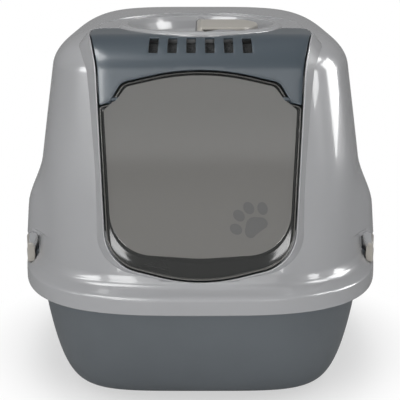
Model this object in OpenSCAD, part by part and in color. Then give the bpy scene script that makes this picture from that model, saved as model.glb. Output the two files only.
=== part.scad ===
// Hooded litter box: a deep tray, a lift-off hood held by four clips, a snap-in front
// visor with vent slots over a carbon filter, a swinging flap and a fold-down handle.
// Millimetres. Origin at the middle of the base, front at -Y, +Z up.

/* [Overall] */
// Width over the skirt of the hood
rim_w = 450; // [420:5:480]
// Length over the skirt of the hood
rim_l = 570; // [540:5:600]
// Height of the crest of the hood
total_h = 454; // [440:1:470]
// Wall of every moulded shell
wall = 3; // [2.5:0.1:3.5]

/* [Tray] */
// Width of the foot ring
foot_w = 296; // [280:2:310]
// Length of the foot ring
foot_l = 370; // [350:2:390]
// Height of the foot ring under the floor
foot_h = 6.5; // [5:0.5:9]
// Height of the flange that carries the hood
flange_top = 152; // [146:1:158]
// How far the flange stands out from the tray wall
flange_reach = 10; // [8:0.5:11]

/* [Hood] */
// Height of the lower edge of the skirt
skirt_z = 137; // [132:1:142]
// Height of the flat band of the skirt
skirt_band = 20; // [18:0.5:22]
// Width of the ledge between skirt and hood wall at the sides
ledge_side = 11; // [10:0.5:12]
// Width of the ledge at the front and back
ledge_end = 23; // [21:0.5:25]
// Lean of the front face from the vertical
front_lean = 14; // [12:0.5:16]
// Forward slope of the top
top_tilt = 2.6; // [2:0.1:3.2]
// Radius of the front shoulder
shoulder_r = 55; // [50:1:60]
// How far each clip stands from the middle of the length
clip_y = 130; // [115:1:140]
// How far the fender over each clip stands out
fender_out = 13.5; // [10:0.5:15]

/* [Door] */
// Half width of the door opening at its foot
door_hw_low = 106.6; // [100:0.2:110]
// Half width of the door opening at the shoulder
door_hw_mid = 118.6; // [114:0.2:121]
// Half width of the door opening on the top
door_hw_top = 133; // [130:0.5:136]
// How far the flap pivots lie below the top of the flat front face
pivot_drop = 27.8; // [24:0.2:32]
// Sideways place of the flap pivots
pivot_x = 98; // [94:0.5:102]
// Rise of the arch over the flap pivots
arch_rise = 31; // [26:1:34]
// Gap round the flap and the visor
door_gap = 1.6; // [1.2:0.1:2]
// Thickness of the clear middle of the flap
flap_t = 3; // [2.4:0.1:3.6]
// Depth of the bead round the flap
bead_t = 7; // [6:0.2:8]
// Number of vent slots
slot_count = 6; // [4:1:8]
// Width of a vent slot
slot_w = 10.5; // [8:0.5:12]

/* [Dish and handle] */
// Outer radius of the collar of the dish
collar_r = 102.5; // [98:0.5:106]
// Inner radius of the collar
dish_r = 89.5; // [86:0.5:92]
// Depth of the dish under the hood top
dish_depth = 17; // [14:0.5:20]
// Distance of the dish behind the corner of the front face and the top
dish_back = 128.56; // [127:0.02:131]
// Radius of the half-round handle
handle_r = 72; // [66:1:76]
// Thickness of the handle's rim
handle_t = 9; // [8:0.5:11]

/* [Clips] */
// Width of a clip
clip_w = 40; // [34:1:46]
// Height of a clip
clip_h = 28; // [26:0.5:30]
// Thickness of a clip
clip_t = 8.5; // [7.5:0.5:9.5]
// Radius of the pivot pins of the clips and the handle
pin_r = 2.5; // [2:0.1:3]
// Running clearance round a pin
pin_gap = 0.08; // [0.05:0.01:0.1]

/* [Hidden] */

gap = 0.3;
around = 64;
rim_a = rim_w / 2;
rim_b = rim_l / 2;
rim_power = 3.18;
foot_power = 5;

// Hood wall at its foot and along its sides
ledge_h = 11;
wall_z = skirt_z + skirt_band + ledge_h;
side_draft = 7.2;
wall_power = 4.2;
back_draft = 7;
back_shoulder_r = 50;
side_shoulder_r = 60;
crown = 2.6;

// Front face: it starts at face_y, wall_z and leans back; then the shoulder, then the top
face_y = -(rim_b - ledge_end);
dish_z = total_h - 11.5;
dish_y = face_y + (dish_z - wall_z) * tan(front_lean) + dish_back;
n_face = [-cos(front_lean), sin(front_lean)];
n_top = [-sin(top_tilt), cos(top_tilt)];
along_face = [sin(front_lean), cos(front_lean)];
along_top = [cos(top_tilt), sin(top_tilt)];
c_face = n_face * [face_y, wall_z] - shoulder_r;
c_top = n_top * [dish_y, dish_z] - shoulder_r;
det = n_face[0] * n_top[1] - n_face[1] * n_top[0];
bend = [
  (c_face * n_top[1] - c_top * n_face[1]) / det,
  (c_top * n_face[0] - c_face * n_top[0]) / det
];
face_end = (bend + shoulder_r * n_face - [face_y, wall_z]) * along_face;
turn = 90 - front_lean - top_tilt;
top_start = face_end + shoulder_r * turn * PI / 180;

// A point of the front face, shoulder or top: t along the surface, d out of it
function skin(t, d) =
  t <= face_end ? [face_y, wall_z] + t * along_face + d * n_face
  : t <= top_start ? bend + (shoulder_r + d) * [
      cos(180 - front_lean - (t - face_end) / shoulder_r * 180 / PI),
      sin(180 - front_lean - (t - face_end) / shoulder_r * 180 / PI)]
  : bend + (shoulder_r + d) * n_top + (t - top_start) * along_top;
function skin3(x, t, d) = [x, skin(t, d)[0], skin(t, d)[1]];

// Superellipse: radius factor at an angle
function super(th, p) = 1 / pow(pow(abs(cos(th)), p) + pow(abs(sin(th)), p), 1 / p);

// Fenders over the clips: full between fender_low and fender_mid, gone at fender_top
pocket_floor = skirt_z + skirt_band + 1;
fender_low = pocket_floor + clip_h + 5;
fender_mid = fender_low + 37;
fender_top = fender_mid + 60;
fender_half = 68;
function bump(y, yc) = abs(y - yc) < fender_half ? pow(cos(90 * (y - yc) / fender_half), 2) : 0;
function ease(u) = u <= 0 ? 0 : u >= 1 ? 1 : u * u * (3 - 2 * u);
function fender(z) = z < fender_low - 0.5 ? 0 : fender_out * ease((fender_top - z) / (fender_top - fender_mid));

// One ring of a shell: half width, front and back, power, and heights at front and back
function ring(a, yf, yb, p, zf, zb, out = 0) = [
  for (i = [0:around - 1])
    let (
      th = 360 * i / around,
      r = super(th, p),
      s = r * sin(th),
      y = (yf + yb) / 2 + (yb - yf) / 2 * s,
      x = a * r * cos(th),
      side = abs(cos(th)) > 0.5 ? sign(cos(th)) : 0
    )
    [x + side * out * (bump(y, -clip_y) + bump(y, clip_y)), y, zf + (zb - zf) * (s + 1) / 2]
];

// Skin a stack of rings into one closed solid, with flat ends
module loft(rings) {
  m = len(rings[0]);
  faces = [
    [for (i = [0:m - 1]) i],
    for (k = [0:len(rings) - 2], i = [0:m - 1])
      [k * m + i, (k + 1) * m + i, (k + 1) * m + (i + 1) % m, k * m + (i + 1) % m],
    [for (i = [m - 1:-1:0]) (len(rings) - 1) * m + i]
  ];
  polyhedron(points = [for (r = rings) each r], faces = faces, convexity = 10);
}

// Round the corners of an outline: each corner is [x, y, radius]
function unit(v) = v / norm(v);
function fillet(a, b, c, steps = 8) =
  let (
    p = [b[0], b[1]],
    u = unit([a[0], a[1]] - p),
    v = unit([c[0], c[1]] - p),
    half = acos(u * v) / 2,
    reach = b[2] / tan(half),
    mid = p + unit(u + v) * b[2] / sin(half),
    from = p + u * reach - mid,
    to = p + v * reach - mid
  )
  b[2] == 0 ? [p]
  : [for (i = [0:steps]) mid + b[2] * unit(from * sin((90 - half) * 2 * (1 - i / steps)) + to * sin((90 - half) * 2 * i / steps))];
function rounded(c) = [for (i = [0:len(c) - 1]) each fillet(c[(i + len(c) - 1) % len(c)], c[i], c[(i + 1) % len(c)])];

// Tray wall: from the foot ring out to the flange, bowed like a hull
tray_a = rim_a - 16;
tray_b = rim_b - 17;
tray_bow = 2.7;
function tray_ring(g, inset, lift = 0) =
  ring(
    foot_w / 2 + (tray_a - foot_w / 2) * g - inset,
    -(foot_l / 2 + (tray_b - foot_l / 2) * g - inset),
    foot_l / 2 + (tray_b - foot_l / 2) * g - inset,
    foot_power + (rim_power - foot_power) * g,
    foot_h + lift + (flange_top - foot_h - lift) * pow(g, tray_bow),
    foot_h + lift + (flange_top - foot_h - lift) * pow(g, tray_bow)
  );
function flat_ring(a, b, p, z) = ring(a, -b, b, p, z, z);

module tray_shell() {
  steps = 9;
  foot_a = foot_w / 2;
  foot_b = foot_l / 2;
  ring_w = 6;
  loft([
    flat_ring(foot_a - ring_w - 1, foot_b - ring_w - 1, foot_power, foot_h),
    flat_ring(foot_a - ring_w, foot_b - ring_w, foot_power, 0),
    flat_ring(foot_a - 2, foot_b - 2, foot_power, 0),
    flat_ring(foot_a, foot_b, foot_power, 2),
    flat_ring(foot_a, foot_b, foot_power, foot_h - 0.5),
    for (i = [1:steps]) tray_ring(0.1 + 0.88 * i / steps, 0),
    flat_ring(tray_a + flange_reach, tray_b + flange_reach, rim_power, flange_top - wall),
    flat_ring(tray_a + flange_reach, tray_b + flange_reach, rim_power, flange_top),
    for (i = [steps:-1:1]) tray_ring(0.1 + 0.9 * i / steps, wall, wall)
  ]);
}

// Right front clip's own frame: +X out of the wall, Z kept
clip_turn = 11;
clip_back_x = rim_a * 0.892;
module at_clip(side, end) {
  mirror([side > 0 ? 0 : 1, 0, 0])
    mirror([0, end > 0 ? 1 : 0, 0])
      translate([clip_back_x, -clip_y, 0])
        rotate([0, 0, -clip_turn])
          children();
}

// Places in the clip's frame: distances out of the pocket's back wall, and heights
clip_in = 8.3;
clip_z = pocket_floor + 0.8;
clip_pin_u = clip_in + clip_t / 2;
clip_pin_z = clip_z + clip_h - 4.5;
pocket_w = clip_w + 12;
tongue_u = 2.3;
tongue_t = 3.4;
tongue_w = 16;
catch_reach = 1.5;
catch_z = clip_z + 6.4;

module block(x0, x1, y0, y1, z0, z1) {
  translate([x0, y0, z0])
    cube([x1 - x0, y1 - y0, z1 - z0]);
}

module tongues() {
  for (side = [-1, 1], end = [-1, 1])
    at_clip(side, end) {
      block(tongue_u, tongue_u + tongue_t, -tongue_w / 2, tongue_w / 2, flange_top - wall, catch_z + 6);
      translate([0, tongue_w / 2, 0])
        rotate([90, 0, 0])
          linear_extrude(tongue_w)
            polygon([
              [tongue_u, catch_z + 6],
              [tongue_u, catch_z],
              [tongue_u + tongue_t + catch_reach, catch_z],
              [tongue_u + tongue_t + catch_reach, catch_z + 1.5],
              [tongue_u + tongue_t, catch_z + 6]
            ]);
    }
}

module tray() {
  color([0.345, 0.365, 0.38]) {
    tray_shell();
    tongues();
  }
}

// Hood wall: half width, front and back at a height above the ledge
hood_a = rim_a - ledge_side;
hood_b = rim_b - ledge_end;
face_top = wall_z + face_end * cos(front_lean);
round_front = skin(top_start, 0)[1] - face_top;
back_z = total_h - back_shoulder_r;
side_z = (face_top + back_z) / 2;
function wall_ring(z, inset) =
  ring(
    hood_a - (z - wall_z) * tan(side_draft) - inset,
    -hood_b + (z - wall_z) * tan(front_lean) + inset,
    hood_b - (z - wall_z) * tan(back_draft) - inset,
    rim_power + (wall_power - rim_power) * ease((z - wall_z) / 130),
    z, z,
    fender(z)
  );
// Shoulder: f is the angle round it, from the wall (0) to the top (90)
function shoulder_ring(f, inset) =
  let (
    zf = face_top + (round_front) * sin(f),
    zb = back_z + (back_shoulder_r - inset) * sin(f),
    zs = (zf + zb) / 2,
    front_turn = turn * f / 90
  )
  ring(
    hood_a - (zs - wall_z) * tan(side_draft) - side_shoulder_r * (1 - cos(f)) - inset,
    skin(face_end + shoulder_r * front_turn * PI / 180, -inset)[0],
    hood_b - (zb - wall_z) * tan(back_draft) - back_shoulder_r * (1 - cos(f)) - inset * cos(f),
    wall_power,
    skin(face_end + shoulder_r * front_turn * PI / 180, -inset)[1], zb
  );
function crown_ring(f, inset) =
  let (
    base = shoulder_ring(90, inset),
    k = cos(f),
    top = base[around / 4][1],
    fr = base[3 * around / 4][1]
  )
  [for (q = base) [q[0] * k, (top + fr) / 2 + (q[1] - (top + fr) / 2) * k,
    q[2] + (q[1] * (k - 1) - (top + fr) / 2 * (k - 1)) * tan(top_tilt) + crown * sin(f)]];

module hood_shell() {
  shoulder_steps = [0, 15, 30, 45, 60, 75, 90];
  seat_z = flange_top + gap;
  fade = (fender_top - fender_mid) / 3;
  wall_levels = [
    (fender_top + face_top) / 2, fender_top, fender_top - fade, fender_mid + fade, fender_mid,
    (fender_low + fender_mid) / 2
  ];
  rings = [
    crown_ring(80, 0),
    crown_ring(60, 0),
    crown_ring(35, 0),
    for (i = [6:-1:0]) shoulder_ring(shoulder_steps[i], 0),
    for (z = wall_levels) wall_ring(z, 0),
    wall_ring(fender_low, 0),
    wall_ring(fender_low - 4, 0),
    wall_ring(wall_z + 3, 0),
    flat_ring(hood_a + 1.5, hood_b + 3, rim_power, wall_z - 3),
    flat_ring(hood_a + 5, hood_b + 9, rim_power, wall_z - 6.5),
    flat_ring(rim_a - 3, rim_b - 5, rim_power, skirt_z + skirt_band + 1),
    flat_ring(rim_a - 0.6, rim_b - 0.8, rim_power, skirt_z + skirt_band - 2),
    flat_ring(rim_a, rim_b, rim_power, skirt_z),
    flat_ring(rim_a - wall, rim_b - wall, rim_power, skirt_z),
    flat_ring(rim_a - wall - 0.6, rim_b - wall - 0.8, rim_power, seat_z),
    flat_ring(tray_a - 2, tray_b - 4, rim_power, seat_z),
    flat_ring(tray_a - 2, tray_b - 7, rim_power, seat_z + 6),
    wall_ring(wall_z + 6, wall),
    wall_ring(fender_low - 1, wall),
    wall_ring(fender_low + 3, wall),
    for (i = [len(wall_levels) - 1:-1:0]) wall_ring(wall_levels[i], wall),
    for (i = [0:6]) shoulder_ring(shoulder_steps[i], wall + 3 * sin(shoulder_steps[i])),
    crown_ring(35, wall + 3),
    crown_ring(60, wall + 3),
    crown_ring(80, wall + 3)
  ];
  loft([for (i = [len(rings) - 1:-1:0]) rings[i]]);
}

module at_dish() {
  translate([0, dish_y, dish_z])
    rotate([top_tilt, 0, 0])
      children();
}

// Front opening: its outline on the leaning face, and in plan on the top
door_back = dish_y - 30;
pivot_up = face_end - pivot_drop;
mid_t = face_end + 9.2;
top_t = top_start + 11.7;
sill_t = -5;
sill_r = 190;
foot_t = 21.2;
foot_r = 48;
function door_edge(t) = door_hw_low + (door_hw_mid - door_hw_low) * (t - foot_t) / (mid_t - foot_t);
module on_face() {
  translate([0, face_y, wall_z])
    rotate([90 - front_lean, 0, 0])
      children();
}
module door_opening(inset = 0) {
  low = door_hw_low - inset;
  mid = door_hw_mid - inset;
  top = door_hw_top - inset;
  on_face()
    translate([0, 0, -60])
      linear_extrude(100)
        polygon(rounded([
          [0, sill_t + inset, sill_r - inset],
          [low, foot_t + inset, foot_r - inset],
          [mid, mid_t, 0],
          [mid, top_t, 0],
          [-mid, top_t, 0],
          [-mid, mid_t, 0],
          [-low, foot_t + inset, foot_r - inset]
        ]));
  y_mid = skin(mid_t, 0)[0];
  y_top = skin(top_t, 0)[0];
  translate([0, 0, skin(mid_t, 0)[1] - 20])
    linear_extrude(100)
      polygon([
        [-mid, face_y], [mid, face_y], [mid, y_mid], [top, y_top],
        [top, door_back - inset], [-top, door_back - inset], [-top, y_top], [-mid, y_mid]
      ]);
}

// Raised frame round the opening: a strip swept round the outline
frame_path = [
  for (q = rounded([
    [door_hw_top, top_t + 82, 0],
    [door_hw_top, top_t, 60],
    [door_hw_mid, mid_t, 120],
    [door_hw_low, foot_t, foot_r],
    [0, sill_t, sill_r],
    [-door_hw_low, foot_t, foot_r],
    [-door_hw_mid, mid_t, 120],
    [-door_hw_top, top_t, 60],
    [-door_hw_top, top_t + 82, 0]
  ])) if (q[1] < top_start + 40) q
];
function frame_side(i) =
  let (
    a = frame_path[max(i - 1, 0)],
    b = frame_path[min(i + 1, len(frame_path) - 1)],
    d = unit(b - a)
  )
  [-d[1], d[0]];
module door_frame() {
  last = len(frame_path) - 1;
  pts = [
    for (i = [0:last])
      let (
        q = frame_path[i],
        s = frame_side(i),
        side = min(1, abs(s[0]) * 1.2),
        reach = 3 + 8 * side,
        deep = 5 + 9 * side
      )
      each [
        skin3(q[0], q[1], 1 - deep),
        skin3(q[0] + s[0] * reach, q[1] + s[1] * reach, -deep),
        skin3(q[0] + s[0] * 2, q[1] + s[1] * 2, 2),
        skin3(q[0], q[1], 1.5)
      ]
  ];
  m = 4;
  polyhedron(
    points = pts,
    faces = [
      [for (j = [0:m - 1]) j],
      for (i = [0:last - 1], j = [0:m - 1])
        [i * m + j, (i + 1) * m + j, (i + 1) * m + (j + 1) % m, i * m + (j + 1) % m],
      [for (j = [m - 1:-1:0]) last * m + j]
    ],
    convexity = 10
  );
}

module dish() {
  floor_r = dish_r - 16;
  rotate_extrude($fn = 96)
    polygon([
      [0, -dish_depth], [floor_r, -dish_depth], [dish_r - 9, 3 - dish_depth], [dish_r - 2, -3],
      [dish_r, 1], [dish_r + 3, 2.8], [collar_r - 5, 3], [collar_r - 1, 1.5], [collar_r, -1],
      [collar_r, -4], [dish_r + 2, -4], [dish_r - 5, 1 - dish_depth],
      [floor_r + 2, -dish_depth - wall], [0, -dish_depth - wall]
    ]);
}

module hood() {
  color([0.63, 0.63, 0.64]) {
    difference() {
      union() {
        hood_shell();
        for (side = [-1, 1], end = [-1, 1])
          at_clip(side, end)
            block(-wall, 6, -pocket_w / 2 - wall, pocket_w / 2 + wall, pocket_floor - 4, fender_low + 2);
      }
      door_opening();
      at_dish() {
        cylinder(r = collar_r + 25, h = 20, $fn = 96);
        translate([0, 0, -20])
          cylinder(r = dish_r + 4, h = 30, $fn = 96);
      }
      for (side = [-1, 1], end = [-1, 1])
        at_clip(side, end) {
          block(0, 40, -pocket_w / 2, pocket_w / 2, pocket_floor, fender_low - 2);
          block(tongue_u - gap, tongue_u + tongue_t + catch_reach + gap, -tongue_w / 2 - gap, tongue_w / 2 + gap,
            flange_top - 2, pocket_floor + 1);
        }
    }
    door_frame();
    landings();
    difference() {
      union() {
        at_dish() {
          dish();
          handle_bosses();
        }
        for (side = [-1, 1], end = [-1, 1])
          at_clip(side, end)
            clip_lugs();
      }
      at_dish()
        translate([0, 0, handle_axis_z])
          rotate([90, 0, 0])
            cylinder(r = pin_r + pin_gap, h = 2 * (handle_half + 8), center = true, $fn = 32);
      for (side = [-1, 1], end = [-1, 1])
        at_clip(side, end)
          translate([clip_pin_u, 0, clip_pin_z])
            rotate([90, 0, 0])
              cylinder(r = pin_r + pin_gap, h = clip_w + 11.4, center = true, $fn = 32);
    }
  }
}

// Landings behind the visor's side flanges
module landings() {
  for (side = [-1, 1])
    on_face()
      mirror([side > 0 ? 0 : 1, 0, 0])
        block(flange_x - 4, door_hw_mid + 6, pivot_up + 8, pivot_up + 28,
          -visor_flange - gap - 4, -visor_flange - gap);
}

// Ears that carry a clip, in the clip's frame
module clip_lugs() {
  for (v = [-1, 1])
    mirror([0, v > 0 ? 0 : 1, 0])
      block(-1, clip_pin_u + 4, clip_w / 2 + 0.6, pocket_w / 2 + 1, clip_pin_z - 5, fender_low - 1);
}

// Bosses in the dish that carry the handle, in the dish's frame
module handle_bosses() {
  for (v = [-1, 1])
    mirror([0, v > 0 ? 0 : 1, 0])
      block(-7, 7, handle_half + 0.6, dish_r - 4, -dish_depth - 1, handle_axis_z + 5);
}

// Visor: a sheet bent over the front shoulder, with an arch over the flap
visor_t = 2.5;
visor_flange = 12;
visor_back = top_start + (door_back - door_gap - skin(top_start, 0)[0]) / cos(top_tilt);
function steps_to(a, b, n) = [for (i = [0:n]) a + (b - a) * i / n];
module bent_sheet(outer, inner, from, half) {
  ts = concat([from], steps_to(face_end, top_start, 14), [visor_back]);
  rotate([90, 0, 90])
    linear_extrude(2 * half, center = true)
      polygon([
        for (t = ts) skin(t, outer),
        for (i = [len(ts) - 1:-1:0]) skin(ts[i], inner)
      ]);
}
// Outline of the flap's head and of the arch over it, out by g
head_knee_x = pivot_x - 10;
head_knee_t = pivot_up + 17;
shoulder_t = pivot_up - 9;
arch_apex = pivot_up + arch_rise + 7;
flange_x = door_edge(shoulder_t) - door_gap;
function head(g) = [
  [door_edge(shoulder_t) - door_gap + g, shoulder_t + g, g > 0 ? 0 : 5],
  [pivot_x + 3 + g, shoulder_t + 4 + g, 5],
  [head_knee_x + g, head_knee_t + g, 14],
  [0, arch_apex + g, 250]
];
function both_sides(c) = concat(c, [for (i = [len(c) - 2:-1:0]) [-c[i][0], c[i][1], c[i][2]]]);

module vent_slots() {
  pitch = 2 * slot_w + 0.4;
  slot_l = 28;
  for (i = [0:slot_count - 1])
    let (k = i - (slot_count - 1) / 2)
      translate([k * pitch, 0, 0])
        on_shoulder(vent_angle)
          rotate([0, 0, -k * 1.2])
            translate([-slot_w / 2, -slot_l / 2, shoulder_r - 12])
              cube([slot_w, slot_l, 20]);
}
// Frame on the shoulder: +Z out of it, +Y up and back over it
vent_angle = 56;
module on_shoulder(a) {
  translate([0, bend[0], bend[1]])
    rotate([90 - a, 0, 0])
      children();
}

filter_angle = 53;
filter_half = 74;
filter_l = 34;
filter_t = 7;
cover_t = 2;
cover_r = shoulder_r - 18.5;
cheek_t = 3;
module filter_cheeks() {
  intersection() {
    bent_sheet(-1, -30, face_end - 10, filter_half + 12);
    for (side = [-1, 1])
      on_shoulder(filter_angle)
        mirror([side > 0 ? 0 : 1, 0, 0])
          block(filter_half + 2, filter_half + 2 + cheek_t, -filter_l / 2 - 7, filter_l / 2 + 3,
            cover_r - 4, shoulder_r);
  }
}
module at_cover_axis() {
  on_shoulder(filter_angle)
    translate([0, -filter_l / 2 - 3, cover_r + 1])
      rotate([0, 90, 0])
        children();
}

module visor() {
  color([0.37, 0.41, 0.45])
    difference() {
      union() {
        visor_sheet();
        for (side = [-1, 1])
          on_face()
            mirror([side > 0 ? 0 : 1, 0, 0]) {
              translate([pivot_x + 4, pivot_up, -bead_t / 2])
                rotate([0, 90, 0])
                  cylinder(r = 5, h = 8, $fn = 32);
              block(pivot_x + 4, pivot_x + 12, pivot_up, pivot_up + 12, -bead_t / 2 - 5, -1);
            }
      }
      on_face()
        translate([0, pivot_up, -bead_t / 2])
          rotate([0, 90, 0])
            cylinder(r = pin_r + pin_gap, h = 2 * pivot_x + 26, center = true, $fn = 32);
    }
}
module visor_sheet() {
  difference() {
    union() {
      intersection() {
        union() {
          bent_sheet(0, -visor_t, pivot_up - 30, rim_a);
          // Side flanges, above the sweep of the flap's shoulders
          for (side = [-1, 1])
            on_face()
              mirror([side > 0 ? 0 : 1, 0, 0])
                block(flange_x - 5, flange_x, pivot_up + 11, pivot_up + 26, -visor_flange, -1);
        }
        door_opening(door_gap);
      }
      filter_cheeks();
    }
    on_face()
      translate([0, 0, -20])
        linear_extrude(40)
          polygon(rounded(concat(
            [[-rim_a, -50, 0], [rim_a, -50, 0], [rim_a, shoulder_t + door_gap, 0]],
            both_sides([for (i = [1:3]) head(door_gap)[i]]),
            [[-rim_a, shoulder_t + door_gap, 0]]
          )));
    at_dish()
      translate([0, 0, -30])
        cylinder(r = collar_r + 1, h = 60, $fn = 96);
    vent_slots();
    at_cover_axis()
      cylinder(r = 1.5 + pin_gap, h = 2 * filter_half + 30, center = true, $fn = 24);
  }
}

// Flap: a clear plate with a bead round it and two stub pins
function flap_outline() = rounded(concat(
  [[0, sill_t + door_gap, sill_r - door_gap], [door_hw_low - door_gap, foot_t + door_gap, foot_r - door_gap]],
  both_sides(head(0)),
  [[-door_hw_low + door_gap, foot_t + door_gap, foot_r - door_gap]]
));
bead_w = 10;
bead_low = 24;
function flap_window() = rounded(concat(
  [[0, sill_t + bead_low + 4, 170], [door_hw_low - bead_w, foot_t + bead_low, foot_r - 6]],
  both_sides([
    [door_edge(shoulder_t) - door_gap - bead_w, shoulder_t - 6, 8],
    [pivot_x - 5, pivot_up - 2, 5],
    [head_knee_x - 5, head_knee_t - 4, 10],
    [0, arch_apex - 6, 240]
  ]),
  [[-door_hw_low + bead_w, foot_t + bead_low, foot_r - 6]]
));
module flap() {
  color([0.30, 0.30, 0.30, 0.85])
    on_face() {
      translate([0, 0, -1 - flap_t])
        linear_extrude(flap_t)
          polygon(flap_outline());
      translate([0, 0, -bead_t])
        linear_extrude(bead_t)
          difference() {
            polygon(flap_outline());
            polygon(flap_window());
          }
      for (side = [-1, 1])
        translate([side * (pivot_x + 2), pivot_up, -bead_t / 2])
          rotate([0, 90, 0])
            cylinder(r = pin_r, h = 18, center = true, $fn = 32);
    }
}

// Paw print: a pad and four toes, laid on the flap
module paw_print() {
  color([0.38, 0.38, 0.37])
    on_face()
      translate([62, 64, -1])
        rotate([0, 0, 38])
          linear_extrude(0.3) {
            for (toe = [[-19, 11, 20], [-7, 21, 6], [7, 21, -6], [19, 11, -20]])
              translate([toe[0], toe[1]])
                rotate(toe[2])
                  scale([0.78, 1])
                    circle(r = 7.4, $fn = 32);
            polygon(rounded([[-15, -11, 6], [-6, -8, 10], [6, -8, 10], [15, -11, 6], [14, 2, 8], [0, 14, 9], [-14, 2, 8]]));
          }
}

module filter_cover() {
  color([0.37, 0.41, 0.45]) {
    on_shoulder(filter_angle)
      difference() {
        block(-filter_half - 1.4, filter_half + 1.4, -filter_l / 2 - 3, filter_l / 2 + 2, cover_r, cover_r + cover_t);
        for (i = [-5:5])
          block(i * 13 - 3.5, i * 13 + 3.5, -filter_l / 2 + 4, filter_l / 2 - 4, cover_r - 1, cover_r + cover_t + 1);
      }
    at_cover_axis()
      cylinder(r = 1.5, h = 2 * filter_half + 9, center = true, $fn = 24);
  }
}

module carbon_filter() {
  color([0.12, 0.12, 0.12])
    on_shoulder(filter_angle)
      block(-filter_half, filter_half, -filter_l / 2 + 1, filter_l / 2 - 1,
        cover_r + cover_t + gap, cover_r + cover_t + gap + filter_t);
}

// Handle: a half-round plate with a deep rim, pivoted on its straight edge
handle_half = 68;
handle_axis_z = -4;
function half_round(x, y, from) =
  let (start = acos(from / x))
  [for (i = [0:24]) [x * cos(start * (i / 12 - 1)), y * sin(start * (i / 12 - 1))]];
module handle() {
  color([0.66, 0.63, 0.59])
    at_dish() {
      translate([0, 0, 1 - handle_t])
        difference() {
          linear_extrude(handle_t)
            polygon(half_round(handle_r, handle_half, -1));
          translate([0, 0, -1])
            linear_extrude(handle_t - 2)
              polygon(half_round(handle_r - 6, handle_half - 6, 7));
        }
      translate([0, 0, handle_axis_z])
        rotate([90, 0, 0]) {
          cylinder(r = 5, h = 2 * handle_half, center = true, $fn = 48);
          cylinder(r = pin_r, h = 2 * (handle_half + 7), center = true, $fn = 32);
        }
    }
}

// Clip, in its own frame: a lever on a pin, with a hook under the tongue's catch
module clip(side, end) {
  z0 = clip_z;
  z1 = clip_z + clip_h;
  out = clip_in + clip_t;
  color([0.63, 0.62, 0.60])
    at_clip(side, end) {
      translate([0, clip_w / 2, 0])
        rotate([90, 0, 0])
          linear_extrude(clip_w)
            polygon([
              [clip_in, z0], [out - 1, z0], [out + 0.6, z0 + 1.5], [out + 0.6, z0 + 5], [out, z0 + 8],
              [out, z1 - 5], [out - 2.5, z1 - 0.5], [clip_in + 2.5, z1], [clip_in, z1 - 3]
            ]);
      block(clip_in - 1.9, clip_in + 1, -tongue_w / 2 + 1, tongue_w / 2 - 1, catch_z - 3.6, catch_z - 0.4);
      translate([clip_pin_u, 0, clip_pin_z])
        rotate([90, 0, 0])
          cylinder(r = pin_r, h = clip_w + 10.4, center = true, $fn = 32);
    }
}

tray();
hood();
visor();
flap();
paw_print();
filter_cover();
carbon_filter();
handle();
clip(-1, -1);  // clip_front_left
clip(1, -1);  // clip_front_right
clip(-1, 1);  // clip_rear_left
clip(1, 1);  // clip_rear_right
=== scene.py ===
from functools import partial

import bpy
import numpy as np
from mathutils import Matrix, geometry


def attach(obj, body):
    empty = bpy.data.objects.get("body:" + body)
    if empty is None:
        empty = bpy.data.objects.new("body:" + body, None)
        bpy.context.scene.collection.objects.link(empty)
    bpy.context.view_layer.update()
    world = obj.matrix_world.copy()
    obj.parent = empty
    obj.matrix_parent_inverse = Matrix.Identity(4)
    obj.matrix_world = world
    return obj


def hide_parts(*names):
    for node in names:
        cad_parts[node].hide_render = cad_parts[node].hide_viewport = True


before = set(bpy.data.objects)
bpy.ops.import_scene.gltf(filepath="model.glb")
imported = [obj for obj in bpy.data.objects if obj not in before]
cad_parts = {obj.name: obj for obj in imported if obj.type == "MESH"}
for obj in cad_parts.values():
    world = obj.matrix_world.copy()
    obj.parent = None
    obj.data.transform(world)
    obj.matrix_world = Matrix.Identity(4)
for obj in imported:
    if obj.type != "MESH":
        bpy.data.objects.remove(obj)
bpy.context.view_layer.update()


# The camera stands in front of the door and looks down at it by just under 14 degrees,
# so that the leaning front face is seen square on. Lens and distance fit the photograph.
def add(name, data):
    """A new object in the scene."""
    thing = bpy.data.objects.new(name, data)
    bpy.context.scene.collection.objects.link(thing)
    return thing


CAMERA_AT, CAMERA_DOWN = (0.0, -1.300, 0.52186), 13.91
eye = add("camera", bpy.data.cameras.new("camera"))
eye.location = CAMERA_AT
eye.rotation_euler = (np.radians(90 - CAMERA_DOWN), 0, 0)
eye.data.sensor_width, eye.data.lens, eye.data.shift_x = 36, 87.107, -0.001
bpy.context.scene.camera = eye
bpy.context.scene.view_settings.view_transform = "Standard"


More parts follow.
